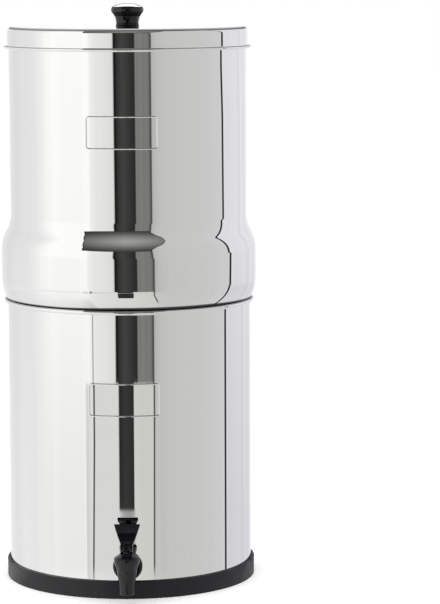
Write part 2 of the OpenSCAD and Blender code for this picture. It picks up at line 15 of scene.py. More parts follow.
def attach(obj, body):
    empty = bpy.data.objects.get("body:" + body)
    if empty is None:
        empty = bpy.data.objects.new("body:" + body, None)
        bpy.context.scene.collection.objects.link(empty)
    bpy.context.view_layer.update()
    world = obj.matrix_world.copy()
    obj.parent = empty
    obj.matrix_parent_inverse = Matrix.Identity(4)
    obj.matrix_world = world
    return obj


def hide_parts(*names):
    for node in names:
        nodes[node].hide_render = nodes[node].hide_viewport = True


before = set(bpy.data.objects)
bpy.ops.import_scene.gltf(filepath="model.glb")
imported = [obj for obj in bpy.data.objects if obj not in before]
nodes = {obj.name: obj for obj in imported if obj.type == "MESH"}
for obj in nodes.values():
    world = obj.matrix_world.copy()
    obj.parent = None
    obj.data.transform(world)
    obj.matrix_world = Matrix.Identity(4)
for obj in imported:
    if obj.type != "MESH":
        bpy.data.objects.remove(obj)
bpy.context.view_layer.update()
scene = bpy.context.scene
MM = 0.001

# %% [markdown]
# ## The camera
# The camera stands 2.7 m in front of the filter, a little to the right of its axis and a little
# above its lid, and looks down by seven degrees. A long lens keeps the pots' sides almost
# parallel. The picture is the sensor's height, so the lens is set from the field that the
# picture needs, and no shift is used.

# %% Camera
PICTURE = (440, 604)
FOCAL_PX = 2730.27
TURN = -0.3
camera = bpy.data.objects.new("camera", bpy.data.cameras.new("camera"))
scene.collection.objects.link(camera)
camera.matrix_world = (
    Matrix.Rotation(math.radians(TURN), 4, "Z")
    @ Matrix.Translation((0.0903, -2.7, 0.60946))
    @ Matrix.Rotation(math.radians(90 - 7.104), 4, "X")
    @ Matrix.Rotation(-0.0031, 4, "Z")
)
camera.data.sensor_width = 36
camera.data.lens = 36 * FOCAL_PX / max(PICTURE)
camera.data.clip_end = 20
scene.camera = camera
print("camera: lens %.1f mm" % camera.data.lens)

# %% [markdown]
# ## Wiring nodes from Python
# A material is a small graph. Two helpers keep its code short. The first adds a node, sets its
# properties and feeds its inputs, each from a number or from another node's output. The second
# turns a table of points into a colour ramp, which then reads any value off that table.

# %% Node helpers
def wire(tree, kind, *inputs, out=0, **settings):
    """Adds a node of that kind and returns one of its outputs. inputs fill its sockets in order, None
    leaves one as it is, and a pair (name, value) fills a named one."""
    node = tree.nodes.new("ShaderNode" + kind)
    for key, value in settings.items():
        setattr(node, key, value)
    for place, value in enumerate(inputs):
        if value is None:
            continue
        if isinstance(value, tuple) and len(value) == 2 and isinstance(value[0], str):
            socket, value = node.inputs[value[0]], value[1]
        else:
            socket = node.inputs[place]
        if isinstance(value, bpy.types.NodeSocket):
            tree.links.new(value, socket)
        else:
            socket.default_value = value
    return node.outputs[out]


def math_node(tree, operation, *inputs):
    """One step of arithmetic on values."""
    return wire(tree, "Math", *inputs, operation=operation)


def times(tree, first, second):
    """The product of two values."""
    return math_node(tree, "MULTIPLY", first, second)


def linear(grey):
    """The light that a screen grey from 0 to 255 stands for: the sRGB curve."""
    c = grey / 255
    return c / 12.92 if c <= 0.04045 else ((c + 0.055) / 1.055) ** 2.4


def table(tree, value, points, low, high, light=False):
    """Reads value off a table of (place, result) points, straight between them, from low to high. With
    light, results are screen greys."""
    node = tree.nodes.new("ShaderNodeValToRGB")
    ramp = node.color_ramp
    ramp.interpolation = "LINEAR"
    while len(ramp.elements) < len(points):
        ramp.elements.new(1.0)
    for element, (place, result) in zip(ramp.elements, points):
        element.position = (place - low) / (high - low)
        shown = linear(result) if light else result
        element.color = (shown, shown, shown, 1)
    share = wire(tree, "MapRange", value, low, high, 0.0, 1.0)
    tree.links.new(share, node.inputs[0])
    return node.outputs[0]


print("helpers: wire, math_node, table")

# %% [markdown]
# ## The studio
# A round mirror shows the whole room, squeezed sideways. The room here is a white tent with
# the camera at an open slit in front: a dark strip, a grey strip beside it, the tent's seams as
# thin dark lines, and the dark ceiling above the tent, which the shoulder of the upper pot
# shows as a lens. It is painted straight on the World as a function of direction: the azimuth
# goes round from the camera's side, and the elevation goes up from the horizon. The camera
# itself sees plain white behind the filter.

# %% The tent, as greys round the azimuth
TENT_LEFT = [
    (-180, 252), (-168, 234), (-160, 228), (-148, 225), (-138, 221), (-128, 225), (-120, 228),
    (-104, 228), (-98, 230), (-91, 237), (-83, 248), (-75, 254), (-60, 251), (-45, 251),
    (-37.5, 254), (-34.5, 238), (-30, 230), (-22, 226), (-15, 220), (-12.9, 217), (-12.3, 18),
    (-10.5, 29), (-9.2, 49), (-4, 65), (0, 58),
]
TENT_RIGHT = [
    (0, 58), (3.5, 50), (7.6, 40), (8.3, 124), (10.5, 119), (13, 125), (16, 118), (19, 122),
    (21.6, 109), (22.1, 62), (23.1, 66), (23.8, 176), (26, 184), (30, 190), (38, 194),
    (60, 197), (83, 199), (91, 202), (99, 203), (101.4, 210), (102.0, 38), (104.1, 32),
    (104.8, 224), (112, 222), (120, 225), (130, 226), (136, 218), (140, 231), (148, 224),
    (156, 228), (165, 239), (180, 250),
]
# Near the floor the slit narrows and the tent's skirt shows beside it, with a seam at each end
SKIRT = [
    (-40, 224), (-34.0, 222), (-33.1, 40), (-32.5, 40), (-31.6, 214), (-20, 213), (-9.3, 214), (-8.2, 38),
    (-3, 54), (2.4, 48), (5.1, 42), (5.7, 204), (12, 203), (23.7, 202), (24.4, 48),
    (25.0, 48), (25.8, 191), (30, 193),
]
FLOOR_LIGHT = [
    (-40, 224), (-34.0, 222), (-33.1, 40), (-32.5, 40), (-31.6, 214), (-9, 213), (-6, 175), (-2, 157),
    (2, 152), (5, 170), (7, 205), (23.7, 202), (24.4, 48), (25.0, 48), (25.8, 191), (30, 193),
]
# Under the belly only the tent's right edge still shows, and that fades towards the floor
UNDER = [(-42, 236), (-30, 228), (-18, 220), (0, 212), (17, 206), (23.2, 203), (25.4, 197), (30, 197)]
print("tent:", len(TENT_LEFT) + len(TENT_RIGHT), "panels and seams")

# %% The World's directions
world = bpy.data.worlds.new("studio")
scene.world = world
world.use_nodes = True
sky = world.node_tree
sky.nodes.clear()
direction = wire(sky, "TexCoord")
split = sky.nodes.new("ShaderNodeSeparateXYZ")
sky.links.new(direction, split.inputs[0])
forward = times(sky, split.outputs[1], -1.0)
azimuth = math_node(sky, "DEGREES", math_node(sky, "ARCTAN2", split.outputs[0], forward))
azimuth = math_node(sky, "SUBTRACT", azimuth, TURN)
elevation = math_node(sky, "DEGREES", math_node(sky, "ARCSINE", split.outputs[2]))


def between(tree, value, low, high, soft):
    """1 between low and high and 0 outside, with edges that are soft wide."""
    rise = wire(tree, "MapRange", value, math_node(tree, "SUBTRACT", low, soft), low, 0.0, 1.0)
    fall = wire(tree, "MapRange", value, high, math_node(tree, "ADD", high, soft), 1.0, 0.0)
    return times(tree, rise, fall)


def blend(tree, share, first, second):
    """first where share is 0 and second where it is 1."""
    node = tree.nodes.new("ShaderNodeMix")
    node.data_type = "RGBA"
    for socket, value in zip((node.inputs[0], node.inputs[6], node.inputs[7]), (share, first, second)):
        if isinstance(value, bpy.types.NodeSocket):
            tree.links.new(value, socket)
        else:
            socket.default_value = value
    return node.outputs[2]


def scaled(tree, share, color, factor):
    """color, multiplied by factor where share is 1."""
    return blend(tree, share, color, wire(tree, "VectorMath", color, factor, operation="MULTIPLY"))


print("studio helpers: between, blend, scaled")

# %% The tent's walls
# the slit and all that lies right of it lean a little, so their azimuth drifts with height
drift = times(sky, wire(sky, "MapRange", elevation, -7.0, 0.0, 1.3, 0.0),
              wire(sky, "MapRange", azimuth, -30.0, -16.0, 0.0, 1.0))
# the right wall's seam bends, most of all where the shoulder shows it
bent = table(sky, elevation, [(-10, 0.0), (-7.4, 0.0), (-6.4, 0.47), (-5.4, 0.73), (-3.2, 0.53),
                              (-2.2, 0.0), (0, 0.0)], -10, 0)
bent = times(sky, bent, wire(sky, "MapRange", azimuth, 80.0, 98.0, 0.0, 3.0))
upright = math_node(sky, "SUBTRACT", math_node(sky, "SUBTRACT", azimuth, drift), bent)
left = table(sky, upright, TENT_LEFT, -180, 0, light=True)
right = table(sky, upright, TENT_RIGHT, 0, 180, light=True)
tent = blend(sky, math_node(sky, "GREATER_THAN", upright, 0.0), left, right)
print("walls: the slit, the strip and the seams")

# %% The skirt and the floor's light
# the skirt's two seams stand upright in the pot, so on the World they lean
front = between(sky, azimuth, -40.0, 30.0, 0.5)
lean_left = times(sky, wire(sky, "MapRange", elevation, -12.7, -10.0, -1.0, 0.7),
                  wire(sky, "MapRange", azimuth, -29.0, -24.0, 1.0, 0.0))
lean_right = times(sky, wire(sky, "MapRange", elevation, -12.7, -9.5, -0.9, -0.1),
                   wire(sky, "MapRange", azimuth, 14.0, 20.0, 0.0, 1.0))
leaning = math_node(sky, "SUBTRACT", math_node(sky, "SUBTRACT", azimuth, lean_left), lean_right)
skirt = times(sky, front, between(sky, elevation, -13.2, -8.82, 0.04))
tent = blend(sky, skirt, tent, table(sky, leaning, SKIRT, -40, 30, light=True))
lit = times(sky, front, between(sky, elevation, -12.3, -11.5, 0.08))
tent = blend(sky, lit, tent, table(sky, leaning, FLOOR_LIGHT, -40, 30, light=True))
print("skirt: from 8.8 to 13.2 degrees below the horizon")

# %% Under the belly
# lower down the right edge runs outwards, as a straight line on the floor does
spread = wire(sky, "MapRange", elevation, -46.0, -18.0, 0.7, 1.0)
inner = times(sky, azimuth, spread)
low = times(sky, between(sky, inner, -28.0, 30.0, 12.0), between(sky, elevation, -90.0, -12.9, 0.3))
tent = blend(sky, low, tent, table(sky, inner, UNDER, -42, 30, light=True))
fade = times(sky, wire(sky, "MapRange", elevation, -41.0, -33.0, 0.0, 0.9),
             wire(sky, "MapRange", elevation, -13.2, -13.0, 1.0, 0.0))
tent = blend(sky, times(sky, between(sky, inner, 24.2, 25.0, 0.5), fade), tent, (0.05, 0.05, 0.05, 1))
foot_dark = times(sky, between(sky, azimuth, -8.3, 5.8, 0.3), between(sky, elevation, -24.9, -12.3, 0.1))
tent = blend(sky, foot_dark, tent, (0.027, 0.027, 0.027, 1))
# between the slit and the daylight the tent's seam shows from the height of the lower pot down
seam = times(sky, between(sky, azimuth, -33.0, -32.6, 0.45), between(sky, elevation, -8.8, -7.15, 0.1))
tent = blend(sky, times(sky, seam, 0.8), tent, (0.05, 0.05, 0.05, 1))
print("belly: the right edge, the slit's dark end and the seam on the left")

# %% How the walls darken with height
# the left wall darkens towards the floor, and so does the far right, while the far left lightens
fall_left = table(sky, elevation, [(-46, 0.78), (-39, 0.8), (-27, 0.88), (-16, 0.93), (-13.2, 0.93),
                                   (-12.6, 0.84), (-11, 0.85), (-9, 0.9), (-7.5, 0.94),
                                   (-5, 0.97), (-2, 0.99), (0, 1.0)], -46, 0)
fall_right = table(sky, elevation, [(-46, 0.9), (-13, 0.88), (-11.5, 0.88), (-8, 0.93), (-5.5, 0.99),
                                    (0, 1.0)], -46, 0)
rise_left = table(sky, elevation, [(-46, 0.96), (-13, 0.96), (-12.6, 1.0), (-11.5, 1.0), (-8, 0.965),
                                   (-5, 0.945), (0, 0.94)], -46, 0)
wall_left = times(sky, wire(sky, "MapRange", azimuth, -95.0, -80.0, 0.0, 1.0),
                  wire(sky, "MapRange", azimuth, -38.5, -34.0, 1.0, 0.0))
tent = scaled(sky, wall_left, tent, fall_left)
tent = scaled(sky, wire(sky, "MapRange", azimuth, 104.0, 108.0, 0.0, 1.0), tent, fall_right)
rise_left = times(sky, rise_left, 1.03)
tent = scaled(sky, wire(sky, "MapRange", azimuth, -112.0, -98.0, 1.0, 0.0), tent, rise_left)
print("walls: three parts follow the height")

# %% [markdown]
# The ceiling above the tent is a grey area with a straight left end and a slanted right side.
# Its outline is two tables, the azimuth of its left and right edge at each elevation. It is
# lightest in the middle and has a dark hem.

# %% The ceiling
edge_left = table(sky, elevation, [(0, 0.36), (19.6, 0.36), (20.4, 0.285), (30, 0.28), (48, 0.24),
                                   (62, 0.2), (64, 0.0), (90, 0.0)], 0, 90)
edge_right = table(sky, elevation, [(0, 0.5), (19.6, 0.5), (20.4, 0.615), (25, 0.62), (33, 0.65),
                                    (38, 0.68), (45, 0.71), (50, 0.73), (62, 0.76), (64, 1.0),
                                    (90, 1.0)], 0, 90)
across_share = wire(sky, "MapRange", azimuth, -100.0, 100.0, 0.0, 1.0)
in_left = math_node(sky, "SUBTRACT", across_share, edge_left)
in_right = math_node(sky, "SUBTRACT", edge_right, across_share)
above = wire(sky, "MapRange", elevation, 19.8, 40.0, 0.0, 0.2)
inside = math_node(sky, "MINIMUM", math_node(sky, "MINIMUM", in_left, in_right), above)
ceiling_mask = wire(sky, "MapRange", inside, 0.0, 0.002, 0.0, 1.0)
ceiling = table(sky, elevation, [(0, 60), (20, 62), (26, 80), (33, 108), (40, 132), (48, 150), (55, 160),
                                 (62, 140), (70, 118), (90, 120)], 0, 90, light=True)
hem = wire(sky, "MapRange", inside, 0.002, 0.012, 0.35, 1.0)
centred = math_node(sky, "ABSOLUTE", math_node(sky, "SUBTRACT", across_share, 0.5))
dimmer = wire(sky, "MapRange", centred, 0.02, 0.25, 1.0, 0.55)
shade = times(sky, hem, dimmer)
ceiling = wire(sky, "VectorMath", ceiling, None, None, shade, operation="SCALE")
tent = blend(sky, ceiling_mask, tent, ceiling)
print("ceiling: from 20 to 62 degrees above the horizon")

# %% [markdown]
# The tent has no roof. Straight above it the room is dark, and every rounded edge of the pots
# shows that as a thin dark line. How far an edge tilts up, and to which side it faces, follow
# from what it mirrors: the mirror's normal halves the angle between the ray that comes in and
# the one that leaves. So the roof is painted by that tilt and side, and the line runs all round
# each edge. It is darkest right above the tent, grows lighter towards the back, and is a little
# weaker on edges that face to a side, most on the left.
# The tent's cloth isn't perfectly even, so very fine upright streaks go over it. Steel swallows
# a tenth of the light, so the room is a tenth brighter than it looks in the pots. Far to the
# sides the tent is lit by daylight and a touch bluer, and in front it is a touch warmer.

# %% Roof, streaks and brightness
halfway = wire(sky, "VectorMath", wire(sky, "VectorMath", direction, (0.0, 1.0, -0.02),
                                       operation="SUBTRACT"), operation="NORMALIZE")
facing = sky.nodes.new("ShaderNodeSeparateXYZ")
sky.links.new(halfway, facing.inputs[0])
tilt = math_node(sky, "DEGREES", math_node(sky, "ARCSINE", facing.outputs[2]))
side = math_node(sky, "DEGREES", math_node(sky, "ARCTAN2", facing.outputs[0],
                                           times(sky, facing.outputs[1], -1.0)))
weaker = math_node(sky, "MAXIMUM", wire(sky, "MapRange", side, 20.0, 37.0, 0.0, 0.1),
                   wire(sky, "MapRange", side, -32.0, -12.0, 0.2, 0.0))
roof = wire(sky, "MapRange", tilt, 30.0, 31.5, 0.0, 1.0)
roof = times(sky, roof, wire(sky, "MapRange", elevation, 3.0, 8.0, 0.0, 1.0))
roof_light = table(sky, tilt, [(30, 0.03), (36, 0.04), (44, 0.15), (52, 0.3), (62, 0.5), (75, 0.72),
                               (90, 0.9)], 30, 90)
roof_light = blend(sky, weaker, wire(sky, "CombineXYZ", roof_light, roof_light, roof_light),
                   (0.8, 0.8, 0.8, 1))
tent = blend(sky, roof, tent, roof_light)
streak_place = wire(sky, "CombineXYZ", times(sky, azimuth, 0.55), times(sky, elevation, 0.01), 0.0)
streak = wire(sky, "TexNoise", streak_place, ("Scale", 1.0), ("Detail", 4.0), ("Roughness", 0.65))
streak = wire(sky, "MapRange", streak, 0.3, 0.7, 0.975 / 0.9, 1.025 / 0.9)
tent = wire(sky, "VectorMath", tent, None, None, streak, operation="SCALE")
far_side = wire(sky, "MapRange", azimuth, 100.0, 108.0, 0.0, 0.8)
tent = scaled(sky, far_side, tent, (0.96, 0.965, 1.02))
warmth = table(sky, azimuth, [(-180, 1.0), (-100, 1.0), (-70, 0.975), (8, 0.975), (9, 0.95),
                              (21.5, 0.945), (22.5, 0.985),
                              (60, 0.985), (100, 1.0), (180, 1.0)], -180, 180)
tent = wire(sky, "VectorMath", tent, wire(sky, "CombineXYZ", 1.0, 1.0, warmth), operation="MULTIPLY")
room = wire(sky, "Background", tent, 1.0)
soft = wire(sky, "Background", (1.0, 1.0, 1.0, 1.0), 1.15)
plain = wire(sky, "Background", (1.0, 1.0, 1.0, 1.0), 1.0)
ray = sky.nodes.new("ShaderNodeLightPath")
lighting = wire(sky, "MixShader", ray.outputs["Is Diffuse Ray"], room, soft)
both = wire(sky, "MixShader", ray.outputs["Is Camera Ray"], lighting, plain)
output = sky.nodes.new("ShaderNodeOutputWorld")
sky.links.new(both, output.inputs[0])
scene.view_settings.view_transform = "Standard"
print("studio:", len(sky.nodes), "nodes in the World")

# %% [markdown]
# ## Floor and light
# A wide matt white sheet carries the filter. It takes a soft shadow, but the steel doesn't
# mirror it, because the World already holds the floor's light. A very broad lamp overhead
# lifts the sheet to paper white. It leaves no mark in the steel either.

# %% Floor and lamp
def plain_object(name, mesh):
    """Links a new object that shows mesh."""
    obj = bpy.data.objects.new(name, mesh)
    scene.collection.objects.link(obj)
    return obj


floor_mesh = bpy.data.meshes.new("floor")
floor_mesh.from_pydata([(-9, -6, 0), (9, -6, 0), (9, 12, 0), (-9, 12, 0)], [], [(0, 1, 2, 3)])
floor = plain_object("floor", floor_mesh)
paper = bpy.data.materials.new("floor_paper")
paper.use_nodes = True
paper_bsdf = paper.node_tree.nodes["Principled BSDF"]
paper_bsdf.inputs["Base Color"].default_value = (0.93, 0.93, 0.93, 1)
paper_bsdf.inputs["Roughness"].default_value = 0.9
paper_bsdf.inputs["Specular IOR Level"].default_value = 0.0
floor_mesh.materials.append(paper)
floor.visible_glossy = False
lamp = bpy.data.objects.new("lamp", bpy.data.lights.new("lamp", "SUN"))
scene.collection.objects.link(lamp)
lamp.data.angle = math.radians(120)
lamp.data.energy = 1.7
lamp.rotation_euler = (math.radians(-14), math.radians(-10), 0)
lamp.visible_glossy = False
print("floor and one lamp of strength", round(lamp.data.energy, 2))

# %% [markdown]
# ## Surfaces from numpy
# Each piece is a grid of points worked out as one array. A grid that closes on itself in both
# directions is a closed skin, and a row that shrinks to one point is a pole. The helper drops
# the faces that such a row would flatten, turns the skin right side out by the sign of its
# volume, and gives every face corner a place in metres along the surface, which the finishes
# read as their map.

# %% From a grid of points to a mesh
def skin(grid, wrap_rows=True):
    """Faces of a grid (rows, columns, 3) whose columns close on themselves, and whose rows do too with
    wrap_rows. Returns points, faces and the map: columns' arc length across, rows' arc length up."""
    rows, cols = grid.shape[:2]
    steps = rows if wrap_rows else rows - 1
    i, j = np.meshgrid(np.arange(steps), np.arange(cols), indexing="ij")
    i2, j2 = (i + 1) % rows, (j + 1) % cols
    index = np.arange(rows * cols).reshape(rows, cols)
    flat = np.ptp(grid, axis=1).max(-1) < 1e-9
    index[flat] = index[flat][:, :1]
    quads = np.stack([index[i, j], index[i, j2], index[i2, j2], index[i2, j]], -1).reshape(-1, 4)
    along = np.linalg.norm(np.roll(grid, -1, 0) - grid, axis=2).max(1)
    up = np.concatenate([[0], np.cumsum(along)])
    around = np.linalg.norm(np.roll(grid, -1, 1) - grid, axis=2).max(0)
    side = np.concatenate([[0], np.cumsum(around)])
    corners = np.stack([
        np.stack([side[j], side[j + 1], side[j + 1], side[j]], -1),
        np.stack([up[i], up[i], up[i + 1], up[i + 1]], -1)], -1).reshape(-1, 4, 2)
    return grid.reshape(-1, 3), quads, corners


def volume(points, quads):
    """Signed volume of a closed skin: the sum of a.(b x c) / 6 over its triangles."""
    a, b, c, d = (points[quads[:, k]] for k in range(4))
    return (np.einsum("ij,ij->", a, np.cross(b, c)) + np.einsum("ij,ij->", a, np.cross(c, d))) / 6


def build(name, grids, sharp=32.0):
    """One object from one or more grids (an array, or an array and its wrap_rows). Edges that turn by
    more than sharp degrees stay crisp."""
    points, faces, maps, start = [], [], [], 0
    for grid in grids:
        grid, wrap = grid if isinstance(grid, tuple) else (grid, True)
        p, q, m = skin(np.asarray(grid, float), wrap)
        if volume(p, q) < 0:
            q, m = q[:, ::-1], m[:, ::-1]
        points.append(p)
        faces.append(q + start)
        maps.append(m)
        start += len(p)
    points, quads, maps = np.concatenate(points), np.concatenate(faces), np.concatenate(maps)
    keep = (quads != np.roll(quads, 1, 1)) & (points[quads] != points[np.roll(quads, 1, 1)]).any(-1)
    keep_face = keep.sum(1) >= 3
    quads, maps, keep = quads[keep_face], maps[keep_face], keep[keep_face]
    used, quads_new = np.unique(quads, return_inverse=True)
    quads = quads_new.reshape(quads.shape)
    counts = keep.sum(1)
    mesh = bpy.data.meshes.new(name)
    mesh.vertices.add(len(used))
    mesh.vertices.foreach_set("co", points[used].astype(np.float32).ravel())
    mesh.loops.add(int(counts.sum()))
    mesh.loops.foreach_set("vertex_index", quads[keep].astype(np.int32))
    mesh.polygons.add(len(counts))
    mesh.polygons.foreach_set("loop_start",
                              np.concatenate([[0], np.cumsum(counts)[:-1]]).astype(np.int32))
    layer = mesh.uv_layers.new(name="surface")
    layer.data.foreach_set("uv", maps[keep].astype(np.float32).ravel())
    mesh.update(calc_edges=True)
    mesh.validate()
    mesh.shade_smooth()
    mesh.set_sharp_from_angle(angle=math.radians(sharp))
    obj = plain_object(name, mesh)
    print("made", name, "with", len(mesh.polygons), "faces")
    return obj


def turned(profile, steps=384, axis=(0, 0)):
    """Spins a profile of (radius, height) points round an upright axis:
    x = r cos a, y = r sin a, z = h."""
    profile = np.asarray(profile, float)
    a = np.linspace(0, 2 * np.pi, steps, endpoint=False)
    r, z = profile[:, :1], profile[:, 1:]
    return np.stack([axis[0] + r * np.cos(a), axis[1] + r * np.sin(a), z + 0 * a], -1) * MM


def arc(centre, radius, start, end, steps=10):
    """Points of an arc about centre, from angle start to angle end in degrees."""
    a = np.radians(np.linspace(start, end, steps + 1))
    return np.stack([centre[0] + radius * np.cos(a), centre[1] + radius * np.sin(a)], -1)


def line(start, end, steps=1):
    """Points of a straight line, both ends included."""
    t = np.linspace(0, 1, steps + 1)[:, None]
    return np.asarray(start, float) * (1 - t) + np.asarray(end, float) * t


def joined(*parts):
    """One profile from several runs of points, without repeats."""
    points = np.concatenate([np.atleast_2d(np.asarray(p, float)) for p in parts])
    return points[np.linalg.norm(np.diff(points, axis=0, prepend=points[-1:]), axis=1) > 1e-6]


def held(profile, margin=0.3, longest=3.0):
    """Adds a point close to each end of every long straight run, so that smooth shading bends only beside
    a curve and never along a straight wall."""
    nxt = profile[1:] - profile[:-1]
    length = np.linalg.norm(nxt, axis=1)
    share = np.where(length > longest, margin / np.maximum(length, 1e-9), 0)[:, None]
    three = np.stack([profile[:-1], profile[:-1] + nxt * share, profile[1:] - nxt * share], 1)
    keep = np.stack([length > 0, length > longest, length > longest], 1)
    return np.concatenate([three[keep], profile[-1:]])


print("surfaces: skin, build, turned, arc")

# %% [markdown]
# ## Finishes
# Two effects are shared by several finishes, so each is a node group: fine lines that follow a
# surface, as polishing and turning leave them, and the slight mottle of dust, wear and moulded
# plastic. A group gives out only values and a height. The shader stays in each material.

# %% Shared effects
def group(name, sockets_in, sockets_out):
    """A shader node group with those sockets, as (name, kind, default) and (name, kind). Returns it with
    its input and output nodes."""
    tree = bpy.data.node_groups.new(name, "ShaderNodeTree")
    for label, kind, default in sockets_in:
        socket = tree.interface.new_socket(name=label, in_out="INPUT", socket_type="NodeSocket" + kind)
        if default is not None:
            socket.default_value = default
    for label, kind in sockets_out:
        tree.interface.new_socket(name=label, in_out="OUTPUT", socket_type="NodeSocket" + kind)
    return tree, tree.nodes.new("NodeGroupInput"), tree.nodes.new("NodeGroupOutput")


def fine_lines_group():
    """Noise stretched a hundredfold along the surface's map: lines that run round the piece, broken up by
    a slower noise."""
    tree, given, result = group(
        "fine_lines",
        [("Map", "Vector", None), ("Along", "Float", 6.0), ("Across", "Float", 900.0)],
        [("Lines", "Float"), ("Patches", "Float")])
    stretch = wire(tree, "CombineXYZ", given.outputs["Along"], given.outputs["Across"], 1.0)
    place = wire(tree, "VectorMath", given.outputs["Map"], stretch, operation="MULTIPLY")
    lines = wire(tree, "TexNoise", place, ("Scale", 1.0), ("Detail", 3.0), ("Roughness", 0.7))
    patches = wire(tree, "TexNoise", given.outputs["Map"], ("Scale", 26.0), ("Detail", 3.0))
    tree.links.new(lines, result.inputs["Lines"])
    tree.links.new(patches, result.inputs["Patches"])
    return tree


def mottle_group():
    """A fine grain, a slow mottle, and their sum as a height."""
    tree, given, result = group(
        "mottle",
        [("Place", "Vector", None), ("Grain", "Float", 1500.0), ("Slow", "Float", 40.0)],
        [("Fine", "Float"), ("Broad", "Float"), ("Height", "Float")])
    fine = wire(tree, "TexNoise", given.outputs["Place"], ("Scale", given.outputs["Grain"]),
                ("Detail", 3.0))
    broad = wire(tree, "TexNoise", given.outputs["Place"], ("Scale", given.outputs["Slow"]),
                 ("Detail", 4.0))
    height = math_node(tree, "ADD", fine, times(tree, broad, 0.5))
    for label, value in (("Fine", fine), ("Broad", broad), ("Height", height)):
        tree.links.new(value, result.inputs[label])
    return tree


FINE_LINES, MOTTLE = fine_lines_group(), mottle_group()


def material(name, color, metallic=0.0, rough=0.4, **constants):
    """A material with its Principled shader, constants set on the shader's own sockets. Returns it with
    its tree and shader."""
    made = bpy.data.materials.new(name)
    made.use_nodes = True
    shader = made.node_tree.nodes["Principled BSDF"]
    shader.inputs["Base Color"].default_value = (*color, 1)
    shader.inputs["Metallic"].default_value = metallic
    shader.inputs["Roughness"].default_value = rough
    for key, value in constants.items():
        shader.inputs[key.replace("_", " ")].default_value = value
    return made, made.node_tree, shader


def use_group(tree, which, first, **values):
    """Places a group, feeds its first input and sets the others. Returns the node."""
    node = tree.nodes.new("ShaderNodeGroup")
    node.node_tree = which
    tree.links.new(first, node.inputs[0])
    for key, value in values.items():
        node.inputs[key].default_value = value
    return node


def ramp(tree, value, low, high, first, second):
    """value from low to high becomes first to second, a number or a colour."""
    share = wire(tree, "MapRange", value, low, high, 0.0, 1.0)
    if isinstance(first, tuple):
        return blend(tree, share, (*first, 1), (*second, 1))
    return wire(tree, "MapRange", value, low, high, first, second)


def bump(tree, shader, height, distance, strength=1.0):
    """Feeds the shader's normal from a height."""
    tree.links.new(wire(tree, "Bump", ("Height", height), ("Distance", distance), ("Strength", strength)),
                   shader.inputs["Normal"])


print("groups:", FINE_LINES.name, MOTTLE.name)

# %% [markdown]
# Mirror steel is almost a perfect mirror. What tells it from chrome are hair-fine polishing
# lines round the pot and patches where the buffing wheel left it a little softer. The inside of
# a pot is never buffed, so it is satin, and one material tells inside from outside by the way
# that its surface faces. The upper pot's turned-in foot gets a thin line of painted shade.

# %% Mirror steel
def inside_mask(tree):
    """1 on a pot's inside: where the normal's part away from the axis is negative, and on the floor,
    which faces up well within the wall."""
    flat = wire(tree, "VectorMath", wire(tree, "TexCoord", out=3), (1.0, 1.0, 0.0), operation="MULTIPLY")
    normal = wire(tree, "NewGeometry", out=1)
    away = wire(tree, "VectorMath", normal, wire(tree, "VectorMath", flat, operation="NORMALIZE"),
                operation="DOT_PRODUCT", out=1)
    up = wire(tree, "VectorMath", normal, (0.0, 0.0, 1.0), operation="DOT_PRODUCT", out=1)
    radius = wire(tree, "VectorMath", flat, operation="LENGTH", out=1)
    floor = times(tree, wire(tree, "MapRange", up, 0.6, 0.8, 0.0, 1.0),
                  wire(tree, "MapRange", radius, 0.112, 0.113, 1.0, 0.0))
    return math_node(tree, "MAXIMUM", wire(tree, "MapRange", away, -0.4, -0.2, 1.0, 0.0), floor)


STEEL_TONE, STEEL_ROUGH, POLISH_LINES = 0.9, 0.013, 1400.0
SATIN_ROUGH = (0.3, 0.42)


def mirror_steel(name, satin_inside=False):
    """Polished steel whose roughness follows fine lines and soft patches of the surface's own map. A pot
    is satin inside."""
    tone = STEEL_TONE
    made, tree, shader = material(name, (tone, tone, tone * 1.005), metallic=1.0, rough=STEEL_ROUGH)
    here = wire(tree, "UVMap", uv_map="surface")
    effect = use_group(tree, FINE_LINES, here, Across=POLISH_LINES)
    lines, patches = effect.outputs["Lines"], effect.outputs["Patches"]
    rough = ramp(tree, lines, 0.35, 0.75, STEEL_ROUGH * 0.7, STEEL_ROUGH * 1.5)
    rough = times(tree, rough, ramp(tree, patches, 0.35, 0.65, 0.8, 1.25))
    if satin_inside:
        satin = ramp(tree, lines, 0.3, 0.7, *SATIN_ROUGH)
        rough = wire(tree, "MapRange", inside_mask(tree), 0.0, 1.0, rough, satin)
    tree.links.new(rough, shader.inputs["Roughness"])
    tree.links.new(ramp(tree, lines, 0.3, 0.7, (tone * 0.985,) * 3, (tone * 1.01,) * 3),
                   shader.inputs["Base Color"])
    bump(tree, shader, lines, 1.5e-8)
    return made


STEEL = mirror_steel("mirror_steel")
STEEL_POT = mirror_steel("mirror_steel_pot", satin_inside=True)


def seam_shade_steel(low, high):
    """The same steel with a painted dark line in the turned-in edge, up to a height of the piece: painted
    shade where the foot folds in. The line is wider in front. The spigot below it keeps the plain tone."""
    made = mirror_steel("mirror_steel_painted_seam_shade", satin_inside=True)
    tree = made.node_tree
    shader = tree.nodes["Principled BSDF"]
    place = tree.nodes.new("ShaderNodeSeparateXYZ")
    tree.links.new(wire(tree, "TexCoord", out=3), place.inputs[0])
    x, z = place.outputs[0], place.outputs[2]
    # the painted shade line reaches higher in front
    shade_rise_in_front = math_node(tree, "MINIMUM", ramp(tree, x, -0.06, -0.01, 0.0, 0.0012),
                        ramp(tree, x, 0.08, 0.115, 0.0012, 0.0002))
    unshaded = ramp(tree, math_node(tree, "SUBTRACT", z, shade_rise_in_front), low, high, 0.0, 1.0)
    spigot = ramp(tree, z, 0.2795, 0.2799, 1.0, 0.0)
    unshaded = math_node(tree, "MAXIMUM", unshaded, spigot)
    tone = shader.inputs["Base Color"].links[0].from_socket
    # painted shade: dark grey (0.07) in the fold where the foot turns in over the lower pot's bead
    tree.links.new(blend(tree, unshaded, (0.07, 0.07, 0.07, 1), tone), shader.inputs["Base Color"])
    return made
